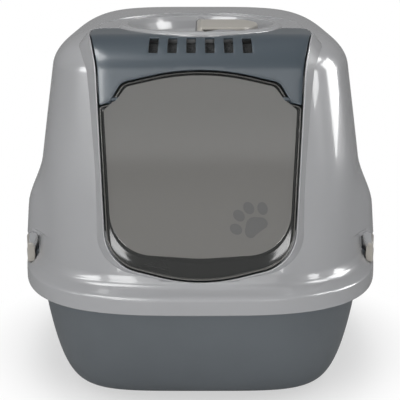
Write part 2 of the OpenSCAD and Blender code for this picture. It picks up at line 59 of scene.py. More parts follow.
# Floor and studio light: a white sheet that fades into white, soft lamps in front, above and left
# that light the box, and white cards and windows that show only in its gloss.
class Nodes:
    """The nodes of one material or world. make() adds a node: settings first, then sockets."""

    def __init__(self, owner):
        owner.use_nodes = True
        self.tree = owner.node_tree
        self.tree.nodes.clear()

    def make(self, kind, settings=None, out=0, **sockets):
        """One node. sockets: name or in_N = a value, a colour or a Val. Returns output out."""
        node = self.tree.nodes.new(kind)
        for key, value in (settings or {}).items():
            setattr(node, key, value)
        for key, value in sockets.items():
            socket = node.inputs[int(key[3:]) if key.startswith("in_") else key.replace("_", " ")]
            if isinstance(value, Val):
                self.tree.links.new(value.socket, socket)
            elif np.isscalar(value):
                socket.default_value = value
            else:
                socket.default_value = (*value, 1) if len(socket.default_value) > len(value) else value
        return Val(self, node.outputs[out]) if len(node.outputs) else None

    def ray(self, kind):
        """1 for rays of one kind, such as Camera or Glossy."""
        return self.make("ShaderNodeLightPath", out=f"Is {kind} Ray")

    def noise(self, place, size, detail, **more):
        return self.make("ShaderNodeTexNoise", Vector=place, Scale=size, Detail=detail, **more)

    def blend(self, share, first, second):
        """The first colour where share is 0, the second where it is 1."""
        return self.make("ShaderNodeMix", {"data_type": "RGBA"}, out=2, in_0=share, in_6=first, in_7=second)

    def surface(self, **sockets):
        """The material's shader and output."""
        shader = self.make("ShaderNodeBsdfPrincipled", **sockets)
        self.make("ShaderNodeOutputMaterial", Surface=shader)


class Val:
    """A shader value that can be written in sums: a + b, a - b, 1 - a, a * b."""

    def __init__(self, nodes, socket):
        self.nodes, self.socket = nodes, socket

    def math(self, operation, a, b):
        return self.nodes.make("ShaderNodeMath", {"operation": operation}, in_0=a, in_1=b)

    def __add__(self, b):
        return self.math("ADD", self, b)

    def __sub__(self, b):
        return self.math("SUBTRACT", self, b)

    def __mul__(self, b):
        return self.math("MULTIPLY", self, b)

    def __rsub__(self, b):
        return self.math("SUBTRACT", b, self)

    __radd__ = __add__
    __rmul__ = __mul__

    def over(self, low, high):
        """0 below low, 1 above high, smooth between."""
        return self.nodes.make(
            "ShaderNodeMapRange", {"interpolation_type": "SMOOTHSTEP"},
            in_0=self, in_1=low, in_2=high, in_3=0.0, in_4=1.0)


FLOOR_HALF, FLOOR_SHADE = 6.0, (0.86, 0.86, 0.86)
FLOOR_CORNERS = [(x * FLOOR_HALF, y * FLOOR_HALF, 0) for x, y in ((-1, -1), (1, -1), (1, 1), (-1, 1))]
floor_mesh = bpy.data.meshes.new("floor")
floor_mesh.from_pydata(FLOOR_CORNERS, [], [(0, 1, 2, 3)])
floor = add("floor", floor_mesh)
floor_look = bpy.data.materials.new("floor paper")
paper = Nodes(floor_look)
matt = paper.make("ShaderNodeBsdfDiffuse", Color=FLOOR_SHADE)
# Near the box the paper keeps part of its shadow, and further out it shows as plain white.
# In the box's gloss the sheet ends there, and the dim studio begins.
STUDIO = 0.24
WHITE = (1, 1, 1)
spot = paper.make("ShaderNodeNewGeometry", out="Position")
away = paper.make("ShaderNodeVectorMath", {"operation": "LENGTH"}, out="Value", in_0=spot)
seen, gloss, through = (paper.ray(kind) for kind in ("Camera", "Glossy", "Transmission"))
plain = paper.make("ShaderNodeEmission", Color=WHITE, Strength=1 - gloss * (1 - STUDIO))
SHADE_IN, SHADE_OUT, SHADE_LEAST = 0.20, 0.34, 0.55
whiteness = away.over(SHADE_IN, SHADE_OUT) * (1 - SHADE_LEAST) + SHADE_LEAST
mixed = paper.make("ShaderNodeMixShader", in_0=(seen + gloss + through) * whiteness, in_1=matt, in_2=plain)
paper.make("ShaderNodeOutputMaterial", Surface=mixed)
floor_mesh.materials.append(floor_look)

# The air lights the box evenly, and shows darker in its gloss, as a studio's walls do
AMBIENT = 0.42
sky = bpy.data.worlds.new("studio")
bpy.context.scene.world = sky
air = Nodes(sky)
dim = air.make("ShaderNodeBackground", Color=WHITE, Strength=AMBIENT - air.ray("Glossy") * (AMBIENT - STUDIO))
bright = air.make("ShaderNodeBackground", Color=WHITE, Strength=1.0)
seen = air.ray("Camera") + air.ray("Transmission")
mixed = air.make("ShaderNodeMixShader", in_0=seen, in_1=dim, in_2=bright)
air.make("ShaderNodeOutputWorld", Surface=mixed)


def soft_light(name, at, towards, width, height, power, mirrored=False):
    """A rectangular lamp that faces a point. It lights surfaces or, if mirrored, only shows in gloss."""
    lamp = add(name, bpy.data.lights.new(name, "AREA"))
    lamp.data.shape = "RECTANGLE"
    lamp.data.size, lamp.data.size_y, lamp.data.energy = width, height, power
    lamp.visible_diffuse, lamp.visible_glossy = not mirrored, mirrored
    way = np.subtract(towards, at)
    lamp.location = at
    tilt, turn = np.arctan2(np.hypot(way[0], way[1]), -way[2]), np.arctan2(way[1], way[0])
    lamp.rotation_euler = (tilt, 0, turn - np.pi / 2)


CARD_AIM, CARD_AWAY = (0, -0.2, 0.3), 2.4


def card(name, azimuth, elevation, width, height, power):
    """A white card seen only in gloss. azimuth is 0 at the camera's side and grows to the right."""
    a, e = np.radians([azimuth, elevation])
    way = np.array([np.sin(a) * np.cos(e), -np.cos(a) * np.cos(e), np.sin(e)])
    soft_light(name, CARD_AIM + CARD_AWAY * way, CARD_AIM, width, height, power, mirrored=True)


soft_light("front light", (-0.15, -3.0, 0.3), (0, 0, 0.25), 1.2, 1.2, 45)
soft_light("top light", (-0.1, 0.1, 2.8), (0, 0, 0.3), 1.6, 1.4, 38)
soft_light("side light", (-2.5, -0.6, 0.6), (0, 0, 0.25), 1.0, 1.0, 4)
card("front card", 0, 27, 2.2, 0.9, 11)
card("left front card", -30, 24, 0.7, 0.9, 20)
card("low card left", -21, 0, 0.75, 0.3, 8)
card("low card right", 21, 0, 0.75, 0.3, 8)
card("window left", -62, 26, 1.1, 0.46, 22)
card("window right", 61, 21, 0.45, 0.34, 7)
card("tall window right", 99, 21, 1.1, 1.25, 62)
card("overhead left", -60, 60, 1.5, 0.8, 40)
card("overhead right", 86, 46, 0.9, 0.5, 20)


# Tray: the deep lower box, injection moulded in matte slate plastic, on a foot ring, with
# a flange round its rim that carries the hood and four tongues that the clips hook on.
RIM_A, RIM_B, WALL = 225.0, 285.0, 3.0
FOOT_A, FOOT_B, FOOT_H = 148.0, 185.0, 6.5
FLANGE_TOP, FLANGE_REACH = 152.0, 10.0
TRAY_A, TRAY_B, TRAY_BOW = RIM_A - 16, RIM_B - 17, 2.7
RIM_POWER, FOOT_POWER = 3.18, 5.0
AROUND = 320
TURN = np.linspace(0, 2 * np.pi, AROUND, endpoint=False)


def superellipse(power):
    """Radius factor at each angle of TURN: (|cos|^p + |sin|^p)^(-1/p)."""
    return (np.abs(np.cos(TURN)) ** power + np.abs(np.sin(TURN)) ** power) ** (-1 / power)


def ring(a, front, back, power, z_front, z_back, swell=None):
    """One level of a shell: a superellipse a wide, from front to back in Y, tilted between two heights.
    swell(y) is how far its sides stand out there."""
    r = superellipse(power)
    s = r * np.sin(TURN)
    y = (front + back) / 2 + (back - front) / 2 * s
    x = a * r * np.cos(TURN)
    if swell:
        x = x + np.where(np.abs(np.cos(TURN)) > 0.5, np.sign(np.cos(TURN)), 0) * swell(y)
    return np.stack([x, y, z_front + (z_back - z_front) * (s + 1) / 2], 1)


def level(a, b, power, z):
    """A flat level, a and b from the middle to its sides and ends."""
    return ring(a, -b, b, power, z, z)


def loft_faces(levels, around, closed=True):
    """Quads between levels of points that lie one after another; closed joins the ends of each level."""
    k, i = np.meshgrid(np.arange(levels - 1), np.arange(around if closed else around - 1), indexing="ij")
    j = (i + 1) % around
    corners = [k * around + i, k * around + j, (k + 1) * around + j, (k + 1) * around + i]
    return np.stack(corners, -1).reshape(-1, 4)


def loft(levels, closed=True, flip=False):
    """Points and quads through levels of equally many points; flip turns the faces over."""
    faces = loft_faces(len(levels), len(levels[0]), closed)
    return np.vstack(levels), faces[:, ::-1] if flip else faces


def smooth_path(points, per_span):
    """A curve through the points (Catmull-Rom), per_span points to each span."""
    p = np.asarray(points, float)
    p = np.vstack([2 * p[0] - p[1], p, 2 * p[-1] - p[-2]])
    t = np.arange(per_span)[:, None] / per_span
    spans = [
        0.5 * (2 * b + (c - a) * t + (2 * a - 5 * b + 4 * c - d) * t**2 + (3 * b - a - 3 * c + d) * t**3)
        for a, b, c, d in zip(p[:-3], p[1:-2], p[2:-1], p[3:])]
    return np.vstack([*spans, p[-2:-1]])


def rounded_path(corners, steps=6, closed=True):
    """An outline with rounded corners. Each corner is (x, y, radius); each arc has steps + 1 points."""
    c = np.asarray(corners, float)
    out = []
    for i, (x, y, radius) in enumerate(c):
        if radius == 0 or (not closed and i in (0, len(c) - 1)):
            out.append([[x, y]])
            continue
        p = np.array([x, y])
        u = c[i - 1][:2] - p
        v = c[(i + 1) % len(c)][:2] - p
        u, v = u / np.hypot(*u), v / np.hypot(*v)
        half = np.arccos(np.clip(u @ v, -1, 1)) / 2
        centre = p + (u + v) / np.hypot(*(u + v)) * radius / np.sin(half)
        a, b = p + u * radius / np.tan(half) - centre, p + v * radius / np.tan(half) - centre
        sweep = np.pi - 2 * half
        k = np.linspace(0, 1, steps + 1)[:, None]
        out.append(centre + (a * np.sin(sweep * (1 - k)) + b * np.sin(sweep * k)) / np.sin(sweep))
    return np.vstack(out)


def put(name, shape, body, slot, material, sharp=35, thick=0.0, bevel=0.0, replaces=()):
    """A mesh piece on a body, from points in mm and faces. thick gives a sheet a wall behind it."""
    points, faces = shape
    mesh = bpy.data.meshes.new(name)
    mesh.from_pydata((np.asarray(points, float) / 1000).tolist(), [], [list(f) for f in faces])
    mesh.validate()
    mesh.shade_smooth()
    mesh.set_sharp_from_angle(angle=np.radians(sharp))
    mesh.materials.append(material)
    piece = add(name, mesh)
    if thick:
        wall = piece.modifiers.new("wall", "SOLIDIFY")
        wall.thickness, wall.offset, wall.use_even_offset = thick / 1000, -1, False
    if bevel:
        edge = piece.modifiers.new("edge", "BEVEL")
        edge.width, edge.segments, edge.limit_method = bevel / 1000, 3, "ANGLE"
        edge.angle_limit = np.radians(sharp)
    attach(piece, body)
    if replaces:
        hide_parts(*replaces)
    return piece


def new_look(name):
    """An empty material, its nodes, and its place on the object."""
    look = bpy.data.materials.new(name)
    nodes = Nodes(look)
    return look, nodes, nodes.make("ShaderNodeTexCoord", out="Object")


def moulded(name, colour, roughness, grain=0.0, grain_size=900.0, drift=0.03, scuff=0.1, gloss=0.5, **coat):
    """Moulded plastic: a colour that drifts a little, flow and handling marks, and a fine grain."""
    look, n, place = new_look(name)
    broad = n.noise(place, 9.0, 3.0)
    marks = n.noise(place, 60.0, 5.0, Roughness=0.65)
    low, high = (tuple(c * k for c in colour) for k in (1 - drift, 1 + drift))
    sockets = dict(
        Base_Color=n.blend(broad.over(0.35, 0.65), low, high), IOR=1.5, Specular_IOR_Level=gloss,
        Roughness=(marks - 0.5) * (roughness * scuff * 2) + roughness, **coat)
    if grain:
        fine = n.noise(place, grain_size, 2.0)
        sockets["Normal"] = n.make("ShaderNodeBump", Strength=grain, Distance=0.0002, Height=fine)
    n.surface(**sockets)
    return look


TRAY_GREY = (0.102, 0.115, 0.126)
tray_plastic = moulded("tray plastic", TRAY_GREY, 0.52, grain=0.35, grain_size=1400.0, drift=0.04)
tray_piece = partial(put, body="tray", slot="tray_plastic", material=tray_plastic)


def tray_wall(g, inset, lift=0.0):
    """The tray's wall at share g of its spread: heights rise as g to a power, so it bows like a hull."""
    a, b = FOOT_A + (TRAY_A - FOOT_A) * g - inset, FOOT_B + (TRAY_B - FOOT_B) * g - inset
    z = FOOT_H + lift + (FLANGE_TOP - FOOT_H - lift) * g**TRAY_BOW
    return level(a, b, FOOT_POWER + (RIM_POWER - FOOT_POWER) * g, z)


# The foot ring as (outwards, height), from the underside, and the flange's edge as (outwards, up)
FOOT_LINE = (
    (-6.4, 1.2), (-5.4, 0), (-3.2, 0), (-1.2, 0.5), (-0.3, 1.6), (0, 3.0),
    (0, FOOT_H - 1.2), (0.6, FOOT_H - 0.5))
FLANGE_LINE = (
    (FLANGE_REACH - 0.8, -WALL), (FLANGE_REACH, 0.8 - WALL), (FLANGE_REACH, -0.8), (FLANGE_REACH - 0.8, 0),
    (1.5 - WALL, 0))
WALL_STEPS, MIDDLE = 26, 0.001
tray_levels = [
    *(level(FOOT_A - 7, FOOT_B - 7, FOOT_POWER, FOOT_H) * (k, k, 1) for k in (MIDDLE, 0.5, 0.9, 1)),
    *(level(FOOT_A + out, FOOT_B + out, FOOT_POWER, z) for out, z in FOOT_LINE),
    *(tray_wall(g, 0) for g in 0.06 + 0.92 * np.linspace(0, 1, WALL_STEPS) ** 0.9),
    *(level(TRAY_A + out, TRAY_B + out, RIM_POWER, FLANGE_TOP + up) for out, up in FLANGE_LINE),
    *(tray_wall(g, WALL, WALL) for g in np.linspace(0.99, 0.08, WALL_STEPS)),
    *(tray_wall(0.08, WALL, WALL) * (k, k, 1) for k in (0.9, 0.5, MIDDLE)),
]
tray_piece("tray", loft(tray_levels), sharp=40, replaces=["tray"])

# The tongues stand on the flange, one behind each clip, and end in a catch.
CLIP_Y, CLIP_TURN, CLIP_BACK_X = 130.0, np.radians(11), RIM_A * 0.892
SKIRT_Z, SKIRT_BAND = 137.0, 20.0
CLIP_W, CLIP_H, CLIP_T, CLIP_IN = 40.0, 28.0, 8.5, 8.3
POCKET_FLOOR = SKIRT_Z + SKIRT_BAND + 1
CLIP_Z = POCKET_FLOOR + 0.8
CATCH_Z = CLIP_Z + 6.4
TONGUE_U, TONGUE_T, TONGUE_W, CATCH_REACH = 2.3, 3.4, 16.0, 1.5
ENDS, SIDES = (("front", -1), ("rear", 1)), (("left", -1), ("right", 1))
CORNERS = {f"{e}_{s}": (x, y) for e, y in ENDS for s, x in SIDES}


def in_clip_frame(points, side, end):
    """Points (out of the wall, along the wall, height) of a clip's frame, brought to one corner."""
    u, v, z = np.asarray(points, float).T
    x = CLIP_BACK_X + u * np.cos(CLIP_TURN) + v * np.sin(CLIP_TURN)
    y = -CLIP_Y - u * np.sin(CLIP_TURN) + v * np.cos(CLIP_TURN)
    return np.stack([x * side, -y * end, z], 1)


def prism(outline, low, high):
    """A solid from an outline (x, y) between two heights: its points (x, y, height) and faces."""
    n = len(outline)
    points = np.vstack([np.column_stack([outline, np.full(n, h)]) for h in (low, high)])
    walls = [(i, (i + 1) % n, n + (i + 1) % n, n + i) for i in range(n)]
    return points, [tuple(range(n))[::-1], tuple(range(n, 2 * n)), *walls]


def face_out(faces, mirrored):
    """Faces turned over where a mirrored place has turned them inside out."""
    return [tuple(f)[::-1] for f in faces] if mirrored else [tuple(f) for f in faces]


def clip_bar(outline, low, high, side, end):
    """A solid from an outline (out of the wall, height) that runs along the wall at one corner."""
    p, f = prism(outline, low, high)
    return in_clip_frame(p[:, [0, 2, 1]], side, end), face_out(f, side * end < 0)


TONGUE_OUT = TONGUE_U + TONGUE_T
tongue_side = rounded_path([
    (TONGUE_U, FLANGE_TOP - WALL, 0), (TONGUE_OUT, FLANGE_TOP - WALL, 0), (TONGUE_OUT, CATCH_Z, 0.3),
    (TONGUE_OUT + CATCH_REACH, CATCH_Z, 0.3), (TONGUE_OUT + CATCH_REACH, CATCH_Z + 1.5, 0.5),
    (TONGUE_OUT, CATCH_Z + 6, 0.8), (TONGUE_U, CATCH_Z + 6, 0.8)], 3)
for corner, place in CORNERS.items():
    tray_piece(f"tongue_{corner}", clip_bar(tongue_side, -TONGUE_W / 2, TONGUE_W / 2, *place), bevel=0.4)


# Hood: one large moulding in glossy light grey plastic. Its skirt hangs over the tray's
# flange, a sloping ledge leads up to the walls, and fenders swell out over the clips.
TOTAL_H, FRONT_LEAN, TOP_TILT, SHOULDER_R = 454.0, np.radians(14), np.radians(2.6), 55.0
LEDGE_SIDE, LEDGE_END = 11.0, 23.0
WALL_Z = SKIRT_Z + SKIRT_BAND + 11
SIDE_DRAFT, BACK_DRAFT = np.tan(np.radians(7.2)), np.tan(np.radians(7))
WALL_POWER, BACK_R, SIDE_R, CROWN = 4.2, 50.0, 60.0, 2.6
HOOD_A, HOOD_B = RIM_A - LEDGE_SIDE, RIM_B - LEDGE_END
FACE_Y, DISH_Z, DISH_BACK = -HOOD_B, TOTAL_H - 11.5, 128.56
DISH_Y = FACE_Y + (DISH_Z - WALL_Z) * np.tan(FRONT_LEAN) + DISH_BACK
N_FACE = np.array([-np.cos(FRONT_LEAN), np.sin(FRONT_LEAN)])
N_TOP = np.array([-np.sin(TOP_TILT), np.cos(TOP_TILT)])
ALONG_FACE = np.array([N_FACE[1], -N_FACE[0]])
ALONG_TOP = np.array([N_TOP[1], -N_TOP[0]])
BEND = np.linalg.solve(
    [N_FACE, N_TOP], [N_FACE @ (FACE_Y, WALL_Z) - SHOULDER_R, N_TOP @ (DISH_Y, DISH_Z) - SHOULDER_R])
FACE_END = (BEND + SHOULDER_R * N_FACE - (FACE_Y, WALL_Z)) @ ALONG_FACE
SHOULDER_TURN = np.pi / 2 - FRONT_LEAN - TOP_TILT
TOP_START = FACE_END + SHOULDER_R * SHOULDER_TURN


def skin(t, d):
    """(y, z) on the leaning face, round the shoulder or on the top: t along the surface, d out of it."""
    t, d = np.broadcast_arrays(np.asarray(t, float), np.asarray(d, float))
    turn = np.pi - FRONT_LEAN - np.clip(t - FACE_END, 0, TOP_START - FACE_END) / SHOULDER_R
    way = np.stack([np.cos(turn), np.sin(turn)], -1)
    before = np.minimum(t - FACE_END, 0)[..., None] * ALONG_FACE
    after = np.maximum(t - TOP_START, 0)[..., None] * ALONG_TOP
    return BEND + (SHOULDER_R + d)[..., None] * way + before + after


def on_skin(x, t, d):
    """Points on or off the front of the hood, x across it."""
    yz = skin(t, d)
    return np.stack([np.broadcast_to(x, yz.shape[:-1]), yz[..., 0], yz[..., 1]], -1)


FENDER_OUT, FENDER_HALF, FENDER_ARCH, FENDER_LIP, FENDER_CUT = 13.5, 68.0, 9.0, 3.5, 4.5
FENDER_LOW = POCKET_FLOOR + CLIP_H + 5
FENDER_MID, FENDER_TOP = FENDER_LOW + 37, FENDER_LOW + 97


def ease(u):
    """0 to 1 as u goes from 0 to 1, level at both ends."""
    u = np.clip(u, 0, 1)
    return u * u * (3 - 2 * u)


def arch(along):
    """How far a fender's lower edge rises, from the middle of the clip to both ends."""
    return FENDER_ARCH * np.clip((np.abs(along) - 4) / 24, 0, 1.2) ** 2


def fender_foot(y):
    return FENDER_LOW + arch(np.abs(y) - CLIP_Y)


def fender(z, y):
    """How far the fenders stand out: full in the middle, faded above, cut off short at the foot."""
    below = np.clip((z - fender_foot(y) + FENDER_LIP) / FENDER_CUT, 0, 1)
    height = FENDER_OUT * ease((FENDER_TOP - z) / (FENDER_TOP - FENDER_MID)) * np.sin(below * np.pi / 2) ** 0.8
    near = np.clip((np.abs(y) - CLIP_Y) / FENDER_HALF, -1, 1)
    return height * np.cos(np.pi / 2 * near) ** 2


FACE_TOP, SQUARE_UP = WALL_Z + FACE_END * np.cos(FRONT_LEAN), 130
BACK_Z = TOTAL_H - BACK_R
ROUND_FRONT = skin(TOP_START, 0)[1] - FACE_TOP


def wall_power(z):
    """How square the walls are in plan: more so higher up."""
    return RIM_POWER + (WALL_POWER - RIM_POWER) * ease((z - WALL_Z) / SQUARE_UP)


def hood_wall(z, rise=0.0):
    """The wall at a height; rise tilts the level back as it nears the shoulder."""
    middle = z + rise / 2
    return ring(
        HOOD_A - (middle - WALL_Z) * SIDE_DRAFT, -HOOD_B + (z - WALL_Z) * np.tan(FRONT_LEAN),
        HOOD_B - (z + rise - WALL_Z) * BACK_DRAFT, wall_power(middle), z, z + rise, lambda y: fender(middle, y))


def hood_shoulder(f):
    """The rounded edge between walls and top: f turns from 0 at the wall to a right angle at the top."""
    zf, zb = FACE_TOP + ROUND_FRONT * np.sin(f), BACK_Z + BACK_R * np.sin(f)
    zs = (zf + zb) / 2
    y, z = skin(FACE_END + SHOULDER_R * SHOULDER_TURN * f / (np.pi / 2), 0)
    return ring(
        HOOD_A - (zs - WALL_Z) * SIDE_DRAFT - SIDE_R * (1 - np.cos(f)), y,
        HOOD_B - (zb - WALL_Z) * BACK_DRAFT - BACK_R * (1 - np.cos(f)), WALL_POWER, z, zb)


def hood_crown(f):
    """The slightly crowned top: rings that shrink to the middle as they rise."""
    base = hood_shoulder(np.pi / 2)
    middle = (base[AROUND // 4, 1] + base[3 * AROUND // 4, 1]) / 2
    k = np.cos(f)
    return np.stack([
        base[:, 0] * k, middle + (base[:, 1] - middle) * k,
        base[:, 2] + (base[:, 1] - middle) * (k - 1) * np.tan(TOP_TILT) + CROWN * np.sin(f)], 1)


# The ledge as (in from the sides, in from the ends, height), from the lip of the skirt up
LEDGE = smooth_path([
    (0.0, 0.0, SKIRT_Z + 9), (0.3, 0.4, WALL_Z - 14.5), (0.9, 1.2, WALL_Z - 12.2), (2.6, 4.2, WALL_Z - 10.2),
    (5.2, 12.0, WALL_Z - 7.2), (7.6, 17.2, WALL_Z - 4.6), (9.6, 20.4, WALL_Z - 1.4),
    (10.7, 22.3, WALL_Z + 2.4)], 4)
WALL_TOP = 340.0
hood_levels = [
    *(level(RIM_A - k, RIM_B - k, RIM_POWER, SKIRT_Z + up) for k, up in ((0.8, 0), (0.2, 0.5), (0, 1.4))),
    *(level(RIM_A - a, RIM_B - b, RIM_POWER, z) for a, b, z in LEDGE[:-1]),
    *(hood_wall(z) for z in np.linspace(WALL_Z + 5, FENDER_LOW - 4, 5)),
    *(hood_wall(z) for z in np.linspace(FENDER_LOW - 3.4, FENDER_LOW + 14, 27)),
    *(hood_wall(z) for z in np.linspace(FENDER_LOW + 19, WALL_TOP, 18)),
    *(hood_wall(WALL_TOP + (FACE_TOP - WALL_TOP) * k, (BACK_Z - FACE_TOP) * k)
      for k in np.linspace(0.16, 0.84, 5)),
    *(hood_shoulder(f) for f in np.radians(np.linspace(0, 90, 31))),
    *(hood_crown(f) for f in np.radians([2, *range(4, 84, 4), 89.5])),
]

# The doorway: half its outline on the face as corners (x, t, radius), mirrored for the other half
DOOR_LOW, DOOR_MID, DOOR_TOP, DOOR_GAP = 106.6, 118.6, 133.0, 1.6
DOOR_BACK, SILL_TO, DOOR_END, FAR = DISH_Y - 30, 70, 60, 99
MID_T, TOP_T, SILL_T, SILL_R, FOOT_T, FOOT_R = FACE_END + 9.2, TOP_START + 11.7, -5.0, 190.0, 21.2, 48.0


def flipped(corners):
    """Corners (x, t, radius) of the right half as those of the left, in order round the outline."""
    return [(-x, t, r) for x, t, r in corners[::-1]]


foot_right = [(DOOR_LOW, 60, 0), (DOOR_LOW, FOOT_T, FOOT_R)]
sill = rounded_path([*foot_right, (0, SILL_T, SILL_R), *flipped(foot_right)], 24, closed=False)
sill = sill[sill[:, 0] >= 0]
sill = sill[np.argsort(sill[:, 0], kind="stable")]


def door_half_width(t):
    """Half width of the doorway along the face: it widens a little up the face and more over the shoulder."""
    return np.interp(t, [FOOT_T, MID_T, TOP_T], [DOOR_LOW, DOOR_MID, DOOR_TOP])


def along_skin(y, z):
    """t of points near the skin, from their (y, z)."""
    rel = np.stack([y, z], -1) - BEND
    turn = np.clip(np.pi - FRONT_LEAN - np.arctan2(rel[..., 1], rel[..., 0]), 0, SHOULDER_TURN)
    on_face, on_top = rel @ ALONG_FACE, rel @ ALONG_TOP
    round_shoulder = np.where(on_top > 0, TOP_START + on_top, FACE_END + SHOULDER_R * turn)
    return np.where(on_face < 0, FACE_END + on_face, round_shoulder)


def door_distance(points, margin=0.0):
    """How far points lie outside the doorway (below 0 inside), along x or t, whichever is nearer."""
    x, y, z = points.T
    t = along_skin(y, z)
    side = np.abs(x) - door_half_width(t)
    foot = np.interp(np.minimum(np.abs(x), DOOR_LOW - 0.01), *sill.T) - t
    apart = np.maximum.reduce([side, np.where(t < SILL_TO, foot, -FAR), y - DOOR_BACK])
    return np.where(y > DOOR_END, FAR, apart) - margin


def clip_away(points, faces, distance):
    """The part of a mesh where distance > 0. Triangles on the border are cut where it is 0."""
    tris = np.vstack([faces[:, [0, 1, 2]], faces[:, [0, 2, 3]]]) if faces.shape[1] == 4 else faces
    keep = distance[tris] > 0
    count = keep.sum(1)
    whole = tris[count == 3]
    new_points, new_tris = [points], [whole]
    base = len(points)
    for kept in (1, 2):
        cut = tris[count == kept]
        lone = (keep[count == kept] == (kept == 1)).argmax(1)
        a, b, c = (cut[np.arange(len(cut)), (lone + k) % 3] for k in range(3))
        share = lambda p, q: (distance[p] / (distance[p] - distance[q]))[:, None]
        cross = lambda p, q: points[p] + (points[q] - points[p]) * share(p, q)
        ab, ac = cross(a, b), cross(a, c)
        i = base + np.arange(len(cut))
        j = i + len(cut)
        new_points += [ab, ac]
        new_tris += [np.stack([a, i, j], 1)] if kept == 1 else [np.stack([i, b, c], 1), np.stack([i, c, j], 1)]
        base += 2 * len(cut)
    return weld(np.vstack(new_points), np.vstack(new_tris))


def weld(points, tris, grain=1e-3):
    """Points closer than grain become one; unused points and collapsed triangles go."""
    key = np.round(points / grain).astype(np.int64)
    _, first, where = np.unique(key, axis=0, return_index=True, return_inverse=True)
    tris = where.reshape(-1)[tris]
    points = points[first]
    good = (tris[:, 0] != tris[:, 1]) & (tris[:, 1] != tris[:, 2]) & (tris[:, 2] != tris[:, 0])
    tris = tris[good]
    used, tris = np.unique(tris, return_inverse=True)
    return points[used], tris.reshape(-1, 3)


def from_dish(points):
    """Points in the dish's own frame: x, along the top, out of it."""
    yz = points[:, 1:] - (DISH_Y, DISH_Z)
    return np.stack([points[:, 0], yz @ ALONG_TOP, yz @ N_TOP], 1)


def to_dish(points):
    """Points of the dish's frame, in the shared frame."""
    p = np.asarray(points, float)
    yz = np.array([DISH_Y, DISH_Z]) + p[:, 1:2] * ALONG_TOP + p[:, 2:3] * N_TOP
    return np.column_stack([p[:, 0], yz])


RECESS_R, COLLAR_R, DISH_R, DISH_DEPTH = 127.5, 102.5, 89.5, 17.0
POCKET_HALF = CLIP_W / 2 + 6


def pocket_distance(points):
    """Distance outside the nearest of the four clip pockets."""
    x, y, z = points.T
    out, along = np.abs(x) - CLIP_BACK_X, np.abs(y) - CLIP_Y
    u = out * np.cos(CLIP_TURN) + along * np.sin(CLIP_TURN)
    v = out * np.sin(CLIP_TURN) - along * np.cos(CLIP_TURN)
    return np.maximum.reduce([np.abs(v) - POCKET_HALF, POCKET_FLOOR - z, z - fender_foot(y) + 2, -u])


def shell_half_width(y, z):
    """Half width of the hood's outside at a place along it and a height, up to the shoulder."""
    ledge_a, ledge_b, ledge_z = LEDGE[np.argsort(LEDGE[:, 2])].T
    low = z < ledge_z[-1]
    up = np.maximum(z - WALL_Z, 0)
    a = np.where(low, RIM_A - np.interp(z, ledge_z, ledge_a), HOOD_A - up * SIDE_DRAFT)
    front = np.where(low, RIM_B - np.interp(z, ledge_z, ledge_b), HOOD_B - up * np.tan(FRONT_LEAN))
    back = np.where(low, front, HOOD_B - up * BACK_DRAFT)
    power = wall_power(z)
    s = np.clip((y - (back - front) / 2) / ((back + front) / 2), -1, 1)
    return a * (1 - np.abs(s) ** power) ** (1 / power) + fender(z, y)


def join(*parts):
    """Several (points, faces) as one, in triangles."""
    points, tris, base = [], [], 0
    for p, f in parts:
        f = np.asarray(f)
        if f.shape[1] == 4:
            f = np.vstack([f[:, [0, 1, 2]], f[:, [0, 2, 3]]])
        points.append(p)
        tris.append(f + base)
        base += len(p)
    return np.vstack(points), np.vstack(tris)


UNDER_DISH, BEYOND = -40, 999


def radius_in_dish(points):
    """Distance from the dish's axis; points far below it count as far away."""
    q = from_dish(points)
    return np.where(q[:, 2] > UNDER_DISH, np.hypot(q[:, 0], q[:, 1]), BEYOND)


FRAME_LAP = 1.0
shell = loft(hood_levels)
shell = clip_away(*shell, door_distance(shell[0], FRAME_LAP))
shell = clip_away(*shell, pocket_distance(shell[0]))
outside = clip_away(*shell, radius_in_dish(shell[0]) - RECESS_R)
deck, deck_tris = clip_away(*shell, RECESS_R - radius_in_dish(shell[0]))
deck, deck_tris = clip_away(deck, deck_tris, radius_in_dish(deck) - (COLLAR_R - 5))
# The round recess about the dish: the crown is pressed flat inside it, with a small step round
# it. The step's line is (inwards, up), both as shares of the drop.
STEP_IN, STEP_DROP, ON_BORDER = 0.62, 3.0, 0.05
STEP_LINE = ((0.0, 1.0), (0.10, 0.93), (0.22, 0.75), (0.34, 0.28), (0.46, 0.07), (STEP_IN, 0.0))
border = from_dish(outside[0])
on_border = np.abs(np.hypot(border[:, 0], border[:, 1]) - RECESS_R) < ON_BORDER
border = border[on_border & (border[:, 2] > UNDER_DISH)]
border_turn = np.arctan2(border[:, 1], border[:, 0])
order = np.argsort(border_turn)
step_turn = np.radians(np.linspace(-24, 204, 229))
step_top = np.interp((step_turn + np.pi) % (2 * np.pi) - np.pi, border_turn[order], border[order, 2])
step_low = np.minimum(step_top, 0)
drop = np.clip(step_top - step_low, 0, STEP_DROP)
step_rows = []
for inwards, up in STEP_LINE:
    r = RECESS_R - inwards * drop
    step_rows.append(np.stack([r * np.cos(step_turn), r * np.sin(step_turn), step_low + up * drop], 1))
step, step_faces = loft(step_rows, closed=False)
flat = from_dish(deck)
flat[:, 2] = np.minimum(flat[:, 2], 0)
half = step_turn <= np.pi + 1e-6
step_in = STEP_IN * np.interp(np.arctan2(flat[:, 1], flat[:, 0]), step_turn[half], drop[half])
flat[:, :2] *= np.minimum(1, (RECESS_R - step_in) / np.maximum(np.hypot(flat[:, 0], flat[:, 1]), 1))[:, None]
HOOD_GREY = (0.337, 0.340, 0.349)
hood_plastic = moulded(
    "hood plastic", HOOD_GREY, 0.26, drift=0.012, scuff=0.08, gloss=0.3, Coat_Weight=0.5, Coat_Roughness=0.025)
hood_piece = partial(put, body="hood", slot="hood_plastic", material=hood_plastic)
